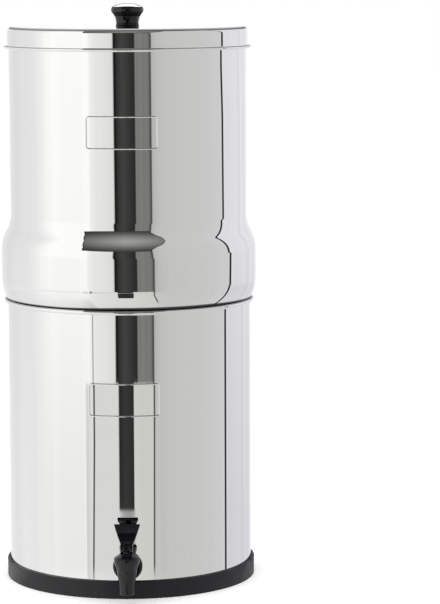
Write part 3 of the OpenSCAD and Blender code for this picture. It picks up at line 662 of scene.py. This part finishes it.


# the upper pot's steel, with its painted shade line from 281.1 to 282.2 mm up
STEEL_SEAM_SHADE = seam_shade_steel(0.2811, 0.2822)
print("finishes:", STEEL.name, STEEL_POT.name, STEEL_SEAM_SHADE.name)

# %% [markdown]
# The black parts differ in gloss. The knob is a hard glossy moulding, the tap a semi-gloss one
# with a faint grain, and the rubber ring is satin and shows a little dust.

# %% Black mouldings and rubber
def moulded(name, color, rough, grain, depth, slow=40.0, spread=0.25, **constants):
    """Moulded plastic or rubber: grain as a height, mottle in roughness and tone."""
    made, tree, shader = material(name, color, rough=rough, **constants)
    here = wire(tree, "TexCoord", out=3)
    effect = use_group(tree, MOTTLE, here, Grain=grain, Slow=slow)
    tree.links.new(ramp(tree, effect.outputs["Broad"], 0.35, 0.65, rough * (1 - spread),
                        rough * (1 + spread)), shader.inputs["Roughness"])
    darker = tuple(c * 0.85 for c in color)
    lighter = tuple(c * 1.2 for c in color)
    tree.links.new(ramp(tree, effect.outputs["Height"], 0.5, 1.0, darker, lighter),
                   shader.inputs["Base Color"])
    bump(tree, shader, effect.outputs["Height"], depth)
    return made


KNOB = moulded("knob_plastic", (0.004, 0.004, 0.0045), 0.08, 900.0, 1.5e-7)
TAP = moulded("tap_plastic", (0.0022, 0.0022, 0.0042), 0.085, 1600.0, 6e-7)
RUBBER = moulded("ring_rubber", (0.0018, 0.0012, 0.0055), 0.45, 2600.0, 1.2e-5, slow=25.0)
SILICONE = moulded("silicone", (0.78, 0.76, 0.7), 0.4, 800.0, 5e-6, Subsurface_Weight=0.2)
WHITE = moulded("white_plastic", (0.78, 0.78, 0.76), 0.35, 1200.0, 8e-6)
print("finishes: knob, tap, rubber, silicone, white plastic")

# %% [markdown]
# Inside are a pressed carbon block, matt and porous, brass for the knob's insert, and plain
# stainless fasteners with turning marks.

# %% Carbon, brass and fasteners
def carbon_block():
    """Pressed carbon: cells as pores over a fine mottle, dark grey to black."""
    made, tree, shader = material("pressed_carbon", (0.02, 0.02, 0.021), rough=0.85)
    here = wire(tree, "TexCoord", out=3)
    pores = wire(tree, "TexVoronoi", here, ("Scale", 700.0))
    effect = use_group(tree, MOTTLE, here, Grain=2200.0, Slow=60.0)
    height = math_node(tree, "ADD", times(tree, pores, 0.8), effect.outputs["Height"])
    tree.links.new(ramp(tree, height, 0.5, 1.6, (0.008, 0.008, 0.009), (0.045, 0.045, 0.047)),
                   shader.inputs["Base Color"])
    tree.links.new(ramp(tree, effect.outputs["Broad"], 0.3, 0.7, 0.75, 0.95), shader.inputs["Roughness"])
    bump(tree, shader, height, 2.5e-4)
    return made


def turned_metal(name, color, rough):
    """Metal with turning marks: the fine lines read from object height and distance."""
    made, tree, shader = material(name, color, metallic=1.0, rough=rough)
    effect = use_group(tree, FINE_LINES, wire(tree, "TexCoord", out=3), Along=300.0, Across=300.0)
    tree.links.new(ramp(tree, effect.outputs["Lines"], 0.3, 0.7, rough * 0.7, rough * 1.3),
                   shader.inputs["Roughness"])
    dark = tuple(c * 0.85 for c in color)
    tree.links.new(ramp(tree, effect.outputs["Patches"], 0.3, 0.7, dark, color),
                   shader.inputs["Base Color"])
    bump(tree, shader, effect.outputs["Lines"], 4e-6)
    return made


CARBON = carbon_block()
BRASS = turned_metal("turned_brass", (0.72, 0.5, 0.2), 0.22)
FASTENER = turned_metal("stainless_fastener", (0.62, 0.62, 0.63), 0.25)
for name, obj in nodes.items():
    finish = (
        CARBON if name.endswith("_block") else
        BRASS if name == "knob_insert" else
        FASTENER if name in ("knob_screw", "knob_washer", "tap_pin") else
        SILICONE if name == "tap_seat_cup" else
        RUBBER if name.endswith("washer") or name == "base_ring" else
        TAP if name.startswith("tap_") or name.endswith("_base") else
        KNOB if name == "lid_knob" else
        WHITE if name.startswith("plug_") or name.endswith("_nut") else STEEL)
    obj.data.materials.clear()
    obj.data.materials.append(finish)
print("finishes on all", len(nodes), "nodes")


def dress(obj, finish, slot, body, *replaced):
    """Gives a piece its finish and its body, and hides the nodes that it stands for. slot is not used."""
    obj.data.materials.append(finish)
    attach(obj, body)
    if replaced:
        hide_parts(*replaced)


# %% [markdown]
# ## The lower pot
# A pot is drawn from one sheet: a raised bottom panel, a soft corner, a straight wall, and at
# the top the edge rolled outwards into a bead. The whole sheet, outside and inside, is one
# closed profile that is spun round the axis.

# %% Sizes of the pots
WALL = 0.8
LOWER_R = 120.65
BEAD_D = 4.5
LOWER_TOP = 280.0
CORNER = 7.0
PANEL_Z, PANEL_R = 5.0, 98.65
SEAM_Z = 280.3
FLOOR_Z = 262.3
SPIGOT_R = LOWER_R - WALL - 0.6
BELLY_R = LOWER_R - WALL + BEAD_D + 2
NECK_R = BELLY_R - 9.2
RIM_Z = 545.9
LID_R = NECK_R + 0.6 + WALL
LID_TOP = RIM_Z + 0.3 + WALL
TAP_Z = 32.0


def curl(centre, radius, end):
    """The edge of a sheet rolled into a bead: out on the bead's inside to the angle end, round the
    sheet's edge, and back on its outside."""
    return joined(
        arc(centre, radius - WALL, 180, end, 30),
        arc(centre, radius, end, 180, 30))


# %% Lower pot
def merge(obj, others, operation="UNION"):
    """Joins the others to obj, or cuts them from it, with the exact Boolean."""
    for other in others:
        modifier = obj.modifiers.new("step", "BOOLEAN")
        modifier.object, modifier.operation, modifier.solver = other, operation, "EXACT"
    bpy.context.view_layer.update()
    mesh = bpy.data.meshes.new_from_object(obj.evaluated_get(bpy.context.evaluated_depsgraph_get()))
    obj.modifiers.clear()
    obj.data = mesh
    mesh.shade_smooth()
    mesh.set_sharp_from_angle(angle=math.radians(36))
    for other in others:
        bpy.data.objects.remove(other)


def rod(name, radius, start, end, steps=64):
    """A closed cylinder from point start to point end, both in mm, for cutting holes."""
    start, end = np.asarray(start, float), np.asarray(end, float)
    way = (end - start) / np.linalg.norm(end - start)
    side = np.cross(way, (1.0, 0, 0) if abs(way[0]) < 0.9 else (0, 1.0, 0))
    side /= np.linalg.norm(side)
    third = np.cross(way, side)
    a = np.linspace(0, 2 * np.pi, steps, endpoint=False)
    ring = radius * (np.cos(a)[:, None] * side + np.sin(a)[:, None] * third)
    grid = np.stack([start + 0 * ring, start + ring, end + ring, end + 0 * ring]) * MM
    return build(name, [(grid, False)])


corner = (LOWER_R - CORNER, 3 + CORNER)
levels = [16.0, 24.0, 42.0, 50.0, 80.0, 120.0, 160.0, 200.0, 240.0]
lower_profile = joined(
    line((0, PANEL_Z), (PANEL_R, PANEL_Z), 6), line((PANEL_R, PANEL_Z), (PANEL_R + 2, 3)),
    arc(corner, CORNER, -90, 0, 14), [(LOWER_R, z) for z in levels],
    curl((LOWER_R - WALL + BEAD_D / 2, LOWER_TOP - BEAD_D / 2), BEAD_D / 2, -120),
    [(LOWER_R - WALL, z) for z in levels[::-1]],
    arc(corner, CORNER - WALL, 0, -90, 14),
    [(PANEL_R + 2.33, 3 + WALL), (PANEL_R + 0.33, PANEL_Z + WALL)],
    line((PANEL_R + 0.33, PANEL_Z + WALL), (0, PANEL_Z + WALL), 6))
lower = build("lower_pot", [(turned(held(lower_profile)), False)])
merge(lower, [rod("tap_hole", 8.1, (0, -110, TAP_Z), (0, -130, TAP_Z))], "DIFFERENCE")
dress(lower, STEEL_POT, "steel", "lower", "lower_chamber")

# %% [markdown]
# ## The upper pot
# The upper pot nests in the lower one with a straight spigot. Above the seam its wall bulges
# into a belly with a turned-in foot, runs straight, draws in through an S-shaped shoulder to
# the neck and ends in an edge folded to the inside.

# %% Upper pot
FOOT_R, FOOT_H, HEM_R = 42.0, 18.7, 1.2
FLARE_A = 30.0
FLARE_R = 9.2 / (2 * (1 - math.cos(math.radians(FLARE_A))))
belly_low, belly_top = SEAM_Z + FOOT_H, SEAM_Z + FOOT_H + 30
neck_z = belly_top + 2 * FLARE_R * math.sin(math.radians(FLARE_A))
foot = (BELLY_R - FOOT_R, belly_low)
hem_a = math.degrees(math.asin((FOOT_H - HEM_R) / (FOOT_R - HEM_R)))
hem_x = foot[0] + (FOOT_R - HEM_R) * math.cos(math.radians(hem_a))
inner_a = math.degrees(math.asin((FOOT_H - WALL) / (FOOT_R - WALL)))
shoulder, neck = (BELLY_R - FLARE_R, belly_top), (NECK_R + FLARE_R, neck_z)
spigot_corner = (SPIGOT_R - CORNER, FLOOR_Z + CORNER)
upper_profile = joined(
    line((0, FLOOR_Z), (SPIGOT_R - CORNER, FLOOR_Z), 8), arc(spigot_corner, CORNER, -90, 0, 12),
    [(SPIGOT_R, SEAM_Z)], arc((hem_x, SEAM_Z + HEM_R), HEM_R, -90, -hem_a, 8),
    arc(foot, FOOT_R, -hem_a, 0, 22), arc(shoulder, FLARE_R, 0, FLARE_A, 22),
    arc(neck, FLARE_R, 180 + FLARE_A, 180, 22), [(NECK_R, z) for z in (400, 440, 480, 520)],
    arc((NECK_R - WALL, RIM_Z - WALL), WALL, 0, 180, 12),
    [(NECK_R - 2 * WALL, RIM_Z - 6), (NECK_R - WALL, RIM_Z - 6)],
    arc(neck, FLARE_R + WALL, 180, 180 + FLARE_A, 22), arc(shoulder, FLARE_R - WALL, FLARE_A, 0, 22),
    arc(foot, FOOT_R - WALL, 0, -inner_a, 20), [(SPIGOT_R - WALL, SEAM_Z + WALL)],
    arc(spigot_corner, CORNER - WALL, 0, -90, 12),
    line((SPIGOT_R - CORNER, FLOOR_Z + WALL), (0, FLOOR_Z + WALL), 8))
upper = build("upper_pot", [(turned(held(upper_profile)), False)])
holes = [(58 * math.cos(a), 58 * math.sin(a)) for a in np.radians([0, 90, 180, 270])]
merge(upper, [rod("hole", 6.5, (x, y, FLOOR_Z - 4), (x, y, FLOOR_Z + 5)) for x, y in holes], "DIFFERENCE")
dress(upper, STEEL_SEAM_SHADE, "steel", "upper", "upper_chamber")

# %% [markdown]
# ## The lid
# The lid is a shallow pressing with a soft top edge. Its lower edge is rolled outwards, and the
# roll is pressed a little flat, so it stands out further than it is high.

# %% Lid
LID_EDGE, ROLL_R, ROLL_OUT = 5.0, 1.75, 1.3
lid_edge = (LID_R - LID_EDGE, LID_TOP - LID_EDGE)
lid_profile = joined(
    line((0, LID_TOP), (LID_R - LID_EDGE, LID_TOP), 8), arc(lid_edge, LID_EDGE, 90, 0, 18),
    curl((LID_R - WALL + ROLL_R, LID_TOP - 21.6 + ROLL_R), ROLL_R, 480),
    arc(lid_edge, LID_EDGE - WALL, 0, 90, 12), 
    line((LID_R - LID_EDGE, LID_TOP - WALL), (0, LID_TOP - WALL), 8))
lid_profile[:, 0] = np.where(lid_profile[:, 0] > LID_R, LID_R + ROLL_OUT * (lid_profile[:, 0] - LID_R),
                             lid_profile[:, 0])
lid = build("lid_pressing", [(turned(held(lid_profile)), False)])
merge(lid, [rod("screw_hole", 2.2, (0, 0, LID_TOP - 4), (0, 0, LID_TOP + 3))], "DIFFERENCE")
dress(lid, STEEL, "steel", "lid", "lid_shell")

# %% [markdown]
# ## Bare name plates
# Each pot has one pressed frame, a rounded rectangle, where a maker would put a name. Here it
# stays bare. The ridge is a bell-shaped section carried round the rectangle's path, and the
# path is then wrapped on the pot: the distance along becomes an angle.

# %% Pressed frames
def pressed_frame(radius, angles, heights, corner_r=2.6, width=1.8, proud=0.55):
    """A ridge round a rounded rectangle. The path runs in (arc length, height), the section is half a
    cosine wave across it, and the wall's radius turns arc length into angle."""
    half_w = math.radians(angles[1] - angles[0]) * radius / 2
    half_h = (heights[1] - heights[0]) / 2
    mid_a, mid_z = math.radians(sum(angles) / 2), sum(heights) / 2
    path, normal = [], []
    for sx, sz, start in ((1, 1, 0), (-1, 1, 90), (-1, -1, 180), (1, -1, 270)):
        a = np.radians(np.linspace(start, start + 90, 13))
        centre = np.array([sx * (half_w - corner_r), sz * (half_h - corner_r)])
        out = np.stack([np.cos(a), np.sin(a)], -1)
        path.append(centre + corner_r * out)
        normal.append(out)
    path, normal = np.concatenate(path), np.concatenate(normal)
    nxt = np.roll(path, -1, 0)
    share = np.linspace(0, 1, 8, endpoint=False)[None, :, None]
    path = (path[:, None] * (1 - share) + nxt[:, None] * share).reshape(-1, 2)
    normal = (normal[:, None] * (1 - share) + np.roll(normal, -1, 0)[:, None] * share).reshape(-1, 2)
    across = np.linspace(-1, 1, 17)
    rise = proud * (1 + np.cos(np.pi * across)) / 2 - 0.01
    across, rise = np.concatenate([across, [1, -1]]), np.concatenate([rise, [-0.3, -0.3]])
    flat = path[None] + across[:, None, None] * width / 2 * normal[None]
    angle = mid_a + flat[..., 0] / radius
    r = radius + rise[:, None]
    return np.stack([r * np.cos(angle), r * np.sin(angle), mid_z + flat[..., 1]], -1) * MM


dress(build("upper_name_frame", [pressed_frame(NECK_R, (-108.0 + TURN, -74.4 + TURN), (433.7, 464.0))],
            60),
      STEEL, "steel", "upper")
dress(build("lower_name_frame", [pressed_frame(LOWER_R, (-107.0 + TURN, -74.6 + TURN), (177.8, 208.7))],
            60),
      STEEL, "steel", "lower")

# %% [markdown]
# ## Ring and knob
# The rubber ring has a rounded foot and a thin lip that hugs the pot. The knob is turned: two
# grooves in its foot, a hollow flank and a domed cap.

# %% Ring
RING_IN, RING_OUT, RING_H = LOWER_R + 0.15, LOWER_R + 3.15, 17.1
ring_profile = joined(
    [(RING_IN - 13, 0.6)], arc((RING_IN - 12.4, 0.6), 0.6, 180, 270, 4),
    arc((RING_OUT - 0.5, 0.5), 0.5, -90, 0, 8), [(RING_OUT, 9.0)],
    arc((RING_OUT - 0.6, RING_H - 0.6), 0.6, 0, 90, 6),
    arc((RING_IN + 0.3, RING_H - 0.3), 0.3, 90, 180, 4),
    [(RING_IN, 3.0), (RING_IN - 13, 3.0)])
dress(build("foot_ring", [turned(held(ring_profile))]), RUBBER, "rubber", "lower", "base_ring")

# %% Knob
def smooth(points, per=6):
    """A smooth curve through points (Catmull-Rom): each stretch is the cubic whose slopes at its ends are
    those of the chords across them."""
    p = np.asarray(points, float)
    p = np.concatenate([2 * p[:1] - p[1:2], p, 2 * p[-1:] - p[-2:-1]])
    t = np.linspace(0, 1, per, endpoint=False)[:, None]
    a, b, c, d = p[:-3, None], p[1:-2, None], p[2:-1, None], p[3:, None]
    curve = 0.5 * (2 * b + (c - a) * t + (2 * a - 5 * b + 4 * c - d) * t**2
                   + (3 * b - a - 3 * c + d) * t**3)
    return np.concatenate([curve.reshape(-1, 2), p[-2:-1]])


KNOB_H = 22.6
knob_profile = joined(
    [(0, 0)], arc((11.5, 0.3), 0.3, -90, 90, 6), arc((11.0, 0.95), 0.25, 120, 60, 3),
    arc((11.1, 1.55), 0.3, -60, 60, 5), arc((11.05, 2.45), 0.3, -70, 60, 5), [(10.85, 2.9)],
    smooth([(11.15, 3.2), (11.35, 5.0), (11.7, 7.0), (12.15, 8.6), (12.85, 10.0), (14.0, 11.8),
            (15.2, 13.3), (15.85, 14.5), (16.1, 15.6), (16.0, 16.9), (15.5, 18.0), (14.7, 18.9),
            (13.6, 19.6), (12.7, 19.95), (11.8, 20.3), (10.4, 20.85), (8.2, 21.5), (5.4, 22.1),
            (2.8, 22.5), (0, KNOB_H)]),
) + np.array([0, LID_TOP])
knob = build("knob", [(turned(knob_profile, 160), False)], 40)
merge(knob, [rod("insert_hole", 4.05, (0, 0, LID_TOP - 1), (0, 0, LID_TOP + 12))], "DIFFERENCE")
dress(knob, KNOB, "knob_plastic", "lid", "lid_knob")

# %% [markdown]
# Two lamps light the knob alone: one high behind the filter gives the domed top its white sheen,
# and one low on the left gives the flank its soft spot. The steel would show them as panels, so
# they are linked to the knob.

# %% Lamps for the knob
only_knob = bpy.data.collections.new("lit_by_lamps")
only_knob.objects.link(knob)


def knob_lamp(name, azimuth, height, distance, size, energy):
    """An area lamp, linked to the knob, that looks at it from an azimuth and a height angle."""
    lamp = bpy.data.objects.new(name, bpy.data.lights.new(name, "AREA"))
    scene.collection.objects.link(lamp)
    lamp.data.shape, lamp.data.energy = "RECTANGLE", energy
    lamp.data.size, lamp.data.size_y = size
    a, h = math.radians(azimuth), math.radians(height)
    away = Vector((math.sin(a) * math.cos(h), -math.cos(a) * math.cos(h), math.sin(h)))
    lamp.location = Vector((0, 0, (LID_TOP + 12) * MM)) + distance * away
    lamp.rotation_euler = away.to_track_quat("Z", "Y").to_euler()
    lamp.light_linking.receiver_collection = only_knob
    return lamp


knob_lamp("sheen", 180.0, 44.0, 2.6, (2.4, 1.7), 90.0)
knob_lamp("soft_spot", -74.0, -13.0, 2.5, (1.1, 0.6), 11.0)
print("two lamps for the knob")

# %% [markdown]
# ## The tap's body
# The barrel stands upright in front of the wall and narrows to the spout along half a cosine
# wave, and the spout narrows on to its mouth with the one and a half power of the height. A
# neck, a flange and a threaded shank come out of it at right angles, and one Boolean joins
# them. The thread is a cylinder whose radius follows a wave that climbs one pitch in each turn.

# %% Tap body
BARREL_Y = -LOWER_R - 28
BARREL_R, BARREL_UP, SPOUT_DOWN, SEAT = 12.4, 13.8, 21.2, -5.0
OUTLET_R, CHAMBER_R, BONNET_R, LEDGE = 4.4, 6.9, 9.6, 6.0
AXIS = (0, BARREL_Y)


def outward(grid):
    """Turns a grid made round Z so that its height runs out of the wall along the tap's shank."""
    return np.stack([grid[..., 0], -LOWER_R * MM - grid[..., 2], TAP_Z * MM + grid[..., 1]], -1)


def threaded(radius, low, high, pitch=1.8, depth=0.55, steps=72):
    """A threaded stretch: radius minus half a wave whose phase grows with height and with the angle,
    faded at both ends."""
    z = np.arange(low, high + 1e-6, pitch / 8)
    a = np.linspace(0, 2 * np.pi, steps, endpoint=False)
    wave = 0.5 - 0.5 * np.cos(2 * np.pi * z[:, None] / pitch - a)
    fade = np.clip(np.minimum(z - low, high - z) / pitch, 0, 1)[:, None]
    r = radius - depth * wave * fade
    return np.stack([r * np.cos(a), r * np.sin(a), z[:, None] + 0 * a], -1) * MM


t = np.linspace(0.03, 1, 24)
spout = np.stack([7.2 + 2.2 * t**1.5, 22.2 * t - SPOUT_DOWN], -1)
share = np.linspace(0, 1, 32)[1:]
flare = np.stack([9.4 + (BARREL_R - 9.4) * (1 - np.cos(np.pi * share)) / 2, 1 + 11.2 * share], -1)
barrel_profile = joined(
    [(0, -SPOUT_DOWN)], arc((7.2 - 0.6, 0.6 - SPOUT_DOWN), 0.6, -90, 0, 7), spout, flare,
    arc((BARREL_R - 0.35, BARREL_UP - 0.35), 0.35, 0, 90, 5), [(0, BARREL_UP)]) + np.array([0, TAP_Z])
body = build("tap_moulding", [(turned(held(barrel_profile), 160, AXIS), False)])
shank = threaded(7.9, -20.8, -1.0)
stub = turned([(7.9, -0.8), (7.9, 3), (12.3, 3), (12.8, 3.4), (12.8, 5.0), (12.2, 5.6), (8.1, 5.6),
               (7.6, 6.2), (7.5, 6.8), (7.5, 27.6), (0, 27.6)], 72)
tip = turned([(0, -21.4), (6.9, -21.4), (7.5, -21.0)], 72)
merge(body, [build("neck", [(outward(np.concatenate([tip, shank, stub])), False)])])
bore = turned(np.array([
    (0, -SPOUT_DOWN - 1), (OUTLET_R, -SPOUT_DOWN - 1), (OUTLET_R, SEAT), (CHAMBER_R, SEAT),
    (CHAMBER_R, LEDGE), (BONNET_R, LEDGE), (BONNET_R, BARREL_UP + 1), (0, BARREL_UP + 1)])
    + [0, TAP_Z], 96, AXIS)
inlet = outward(turned([(0, -23), (4.5, -23), (4.5, 26), (0, 26)], 72))
merge(body, [build("bore", [(bore, False)]), build("inlet", [(inlet, False)])], "DIFFERENCE")
dress(body, TAP, "black_plastic", "lower", "tap_body")

# %% [markdown]
# ## Bonnet, lever and fork
# The bonnet screws into the barrel and has a fluted rim. The lever is a blade on a fork. The
# blade is a stack of rounded rectangles: they widen straight to the tip, thin out, and their
# front is hollowed. Each ear of the fork is a slab with a soft edge, round where it rolls on
# the bonnet. In the closed position the lever leans back.

# %% Bonnet
def fluted(profile, rows, count, depth, steps=240):
    """A turned piece whose given rows are cut by count shallow flutes: the radius drops by depth times a
    sharpened cosine."""
    profile = np.asarray(profile, float)
    a = np.linspace(0, 2 * np.pi, steps, endpoint=False)
    r = profile[:, :1] - depth * np.isin(np.arange(len(profile)),
                                         rows)[:, None] * np.clip(np.cos(count * a), 0, 1) ** 1.5
    return np.stack([r * np.cos(a), BARREL_Y + r * np.sin(a), profile[:, 1:] + 0 * a], -1) * MM


BOSS_Z = BARREL_UP + 4.6
bonnet_profile = np.concatenate([
    [(2.72, BOSS_Z), (6.5, BOSS_Z)], arc((6.5, BOSS_Z - 0.4), 0.4, 80, 0, 4),
    smooth([(7.0, BOSS_Z - 0.75), (7.6, BOSS_Z - 1.25), (9.2, BOSS_Z - 2.1), (10.8, BOSS_Z - 3.0)], 4),
    [(11.6, BOSS_Z - 3.6), (11.87, BOSS_Z - 3.95), (11.9, BARREL_UP + 0.3), (11.9, BARREL_UP),
     (9.55, BARREL_UP), (9.55, 7.5), (6.9, 7.5), (6.9, 13.0), (4.2, 14.6), (2.72, 14.6)]]) + [0, TAP_Z]
rim_rows = [len(bonnet_profile) - k for k in (10, 9, 8)]
bonnet = build("bonnet", [fluted(bonnet_profile, rim_rows, 24, 0.35)], 40)
dress(bonnet, TAP, "black_plastic", "lower", "tap_bonnet")
# its image in the wall would stand beside the stem, so the steel leaves it out
bonnet.visible_glossy = False

# %% Lever
PIN_Z, CAM_R, CAM_Y, CAM_Z = 23.0, 5.6, -3.02, 1.1
LEAN, LEVER_L, NECK_L, ROOT_L, LIP_L = 33.0, 24.7, 6.6, 2.4, 20.7


def tilted(points, lean):
    """Leans points (x, y, z) back by lean degrees round the lever's pin and puts them in place on the
    tap."""
    c, n = math.cos(math.radians(lean)), math.sin(math.radians(lean))
    x, y, z = points[..., 0], points[..., 1], points[..., 2]
    return np.stack([x, BARREL_Y + y * c + z * n, TAP_Z + PIN_Z - y * n + z * c], -1) * MM


def rounded_box(half_w, front, back, radius, per=5):
    """Outline of a rectangle from front to back along y with rounded corners, as (x, y) points."""
    corners_at = [(half_w - radius, back - radius, 0), (radius - half_w, back - radius, 90),
                  (radius - half_w, front + radius, 180), (half_w - radius, front + radius, 270)]
    return np.concatenate([arc((x, y), radius, a, a + 90, per) for x, y, a in corners_at])


def blade():
    """Rounded rectangles from the fork to the tip. Half width grows straight from the root with height,
    the thickness falls, the front is hollow by a sine, and the tip keeps a lip behind."""
    heights = np.concatenate([[3.2, 3.35], np.linspace(3.8, 19.2, 24),
                              [19.4, 20.05, LIP_L, 21.2, 23.8, 24.3, 24.45, 24.6, LEVER_L]])
    rows = []
    for h in heights:
        widen = (h - ROOT_L) / (LEVER_L - ROOT_L)
        rise = max(0.0, (h - NECK_L) / (LEVER_L - NECK_L))
        half = 5.4 + 7.1 * widen + 0.3 * math.sin(math.pi * widen)
        front = -2.5 + 1.3 * rise + 1.1 * math.sin(math.pi * rise)
        back = 2.5 - 1.3 * rise
        back += (2.8 - back) * min(1, max(0, (h - LIP_L + 1.3) / 1.3))
        edge = 0.4 * (1 - math.sqrt(max(0, 1 - max(0, (h - LEVER_L + 0.4) / 0.4) ** 2)))
        rows.append(np.column_stack([rounded_box(half - edge, front + edge, back - edge, 0.8),
                                     np.full(24, h)]))
    grid = np.stack(rows)
    first, last = (end.mean(1, keepdims=True) + 0 * end for end in (grid[:1], grid[-1:]))
    return np.concatenate([first, grid, last])


def ear(side):
    """A slab with soft edges. Its outline is the hull of the cam's circle and of a smaller circle at the
    blade's root, and two rows at each face are drawn in by the edge's radius."""
    outer = arc((CAM_Y, CAM_Z), CAM_R, 150, 330, 40)
    root = np.array([math.sin(math.radians(LEAN)), math.cos(math.radians(LEAN))]) * (NECK_L - 1.2)
    inner = arc(root, 2.5, -30, 150, 20)
    outline = np.concatenate([outer, inner])
    middle = outline.mean(0)
    low, high = (2.65, 5.8) if side > 0 else (-5.8, -2.65)
    rows = []
    for x, inset in ((low, 99), (low, 0.35), (low + 0.1, 0.1), (low + 0.35, 0), (high - 0.35, 0),
                     (high - 0.1, 0.1), (high, 0.35), (high, 99)):
        way = outline - middle
        size = np.linalg.norm(way, axis=1, keepdims=True)
        ring = middle + way * np.clip(1 - inset / size, 0, 1)
        rows.append(np.column_stack([np.full(len(ring), x), BARREL_Y + ring[:, 0],
                                     TAP_Z + PIN_Z + ring[:, 1]]))
    return np.stack(rows) * MM


lever = build("lever_blade", [(tilted(blade(), LEAN), False)])
merge(lever, [build("ear", [(ear(1), False)]), build("ear", [(ear(-1), False)])])
slot = np.array([
    (x, y, z) for z in (-6, 4.6)
    for x, y in ((-2.65, -12), (2.65, -12), (2.65, 12), (-2.65, 12))]) + [0, BARREL_Y, TAP_Z + PIN_Z]
slot_mesh = bpy.data.meshes.new("slot")
slot_mesh.from_pydata((slot * MM).tolist(), [], [
    (3, 2, 1, 0), (4, 5, 6, 7), (0, 1, 5, 4), (1, 2, 6, 5), (2, 3, 7, 6), (3, 0, 4, 7)])
pin_at = (BARREL_Y, TAP_Z + PIN_Z)
merge(lever, [plain_object("slot", slot_mesh), rod("pin_hole", 1.5, (-9, *pin_at), (9, *pin_at), 32)],
      "DIFFERENCE")
dress(lever, TAP, "black_plastic", "lever", "tap_lever")

# %% Finish
def corners(box):
    """Two corners as plain numbers."""
    return [[float(x) for x in corner] for corner in box]
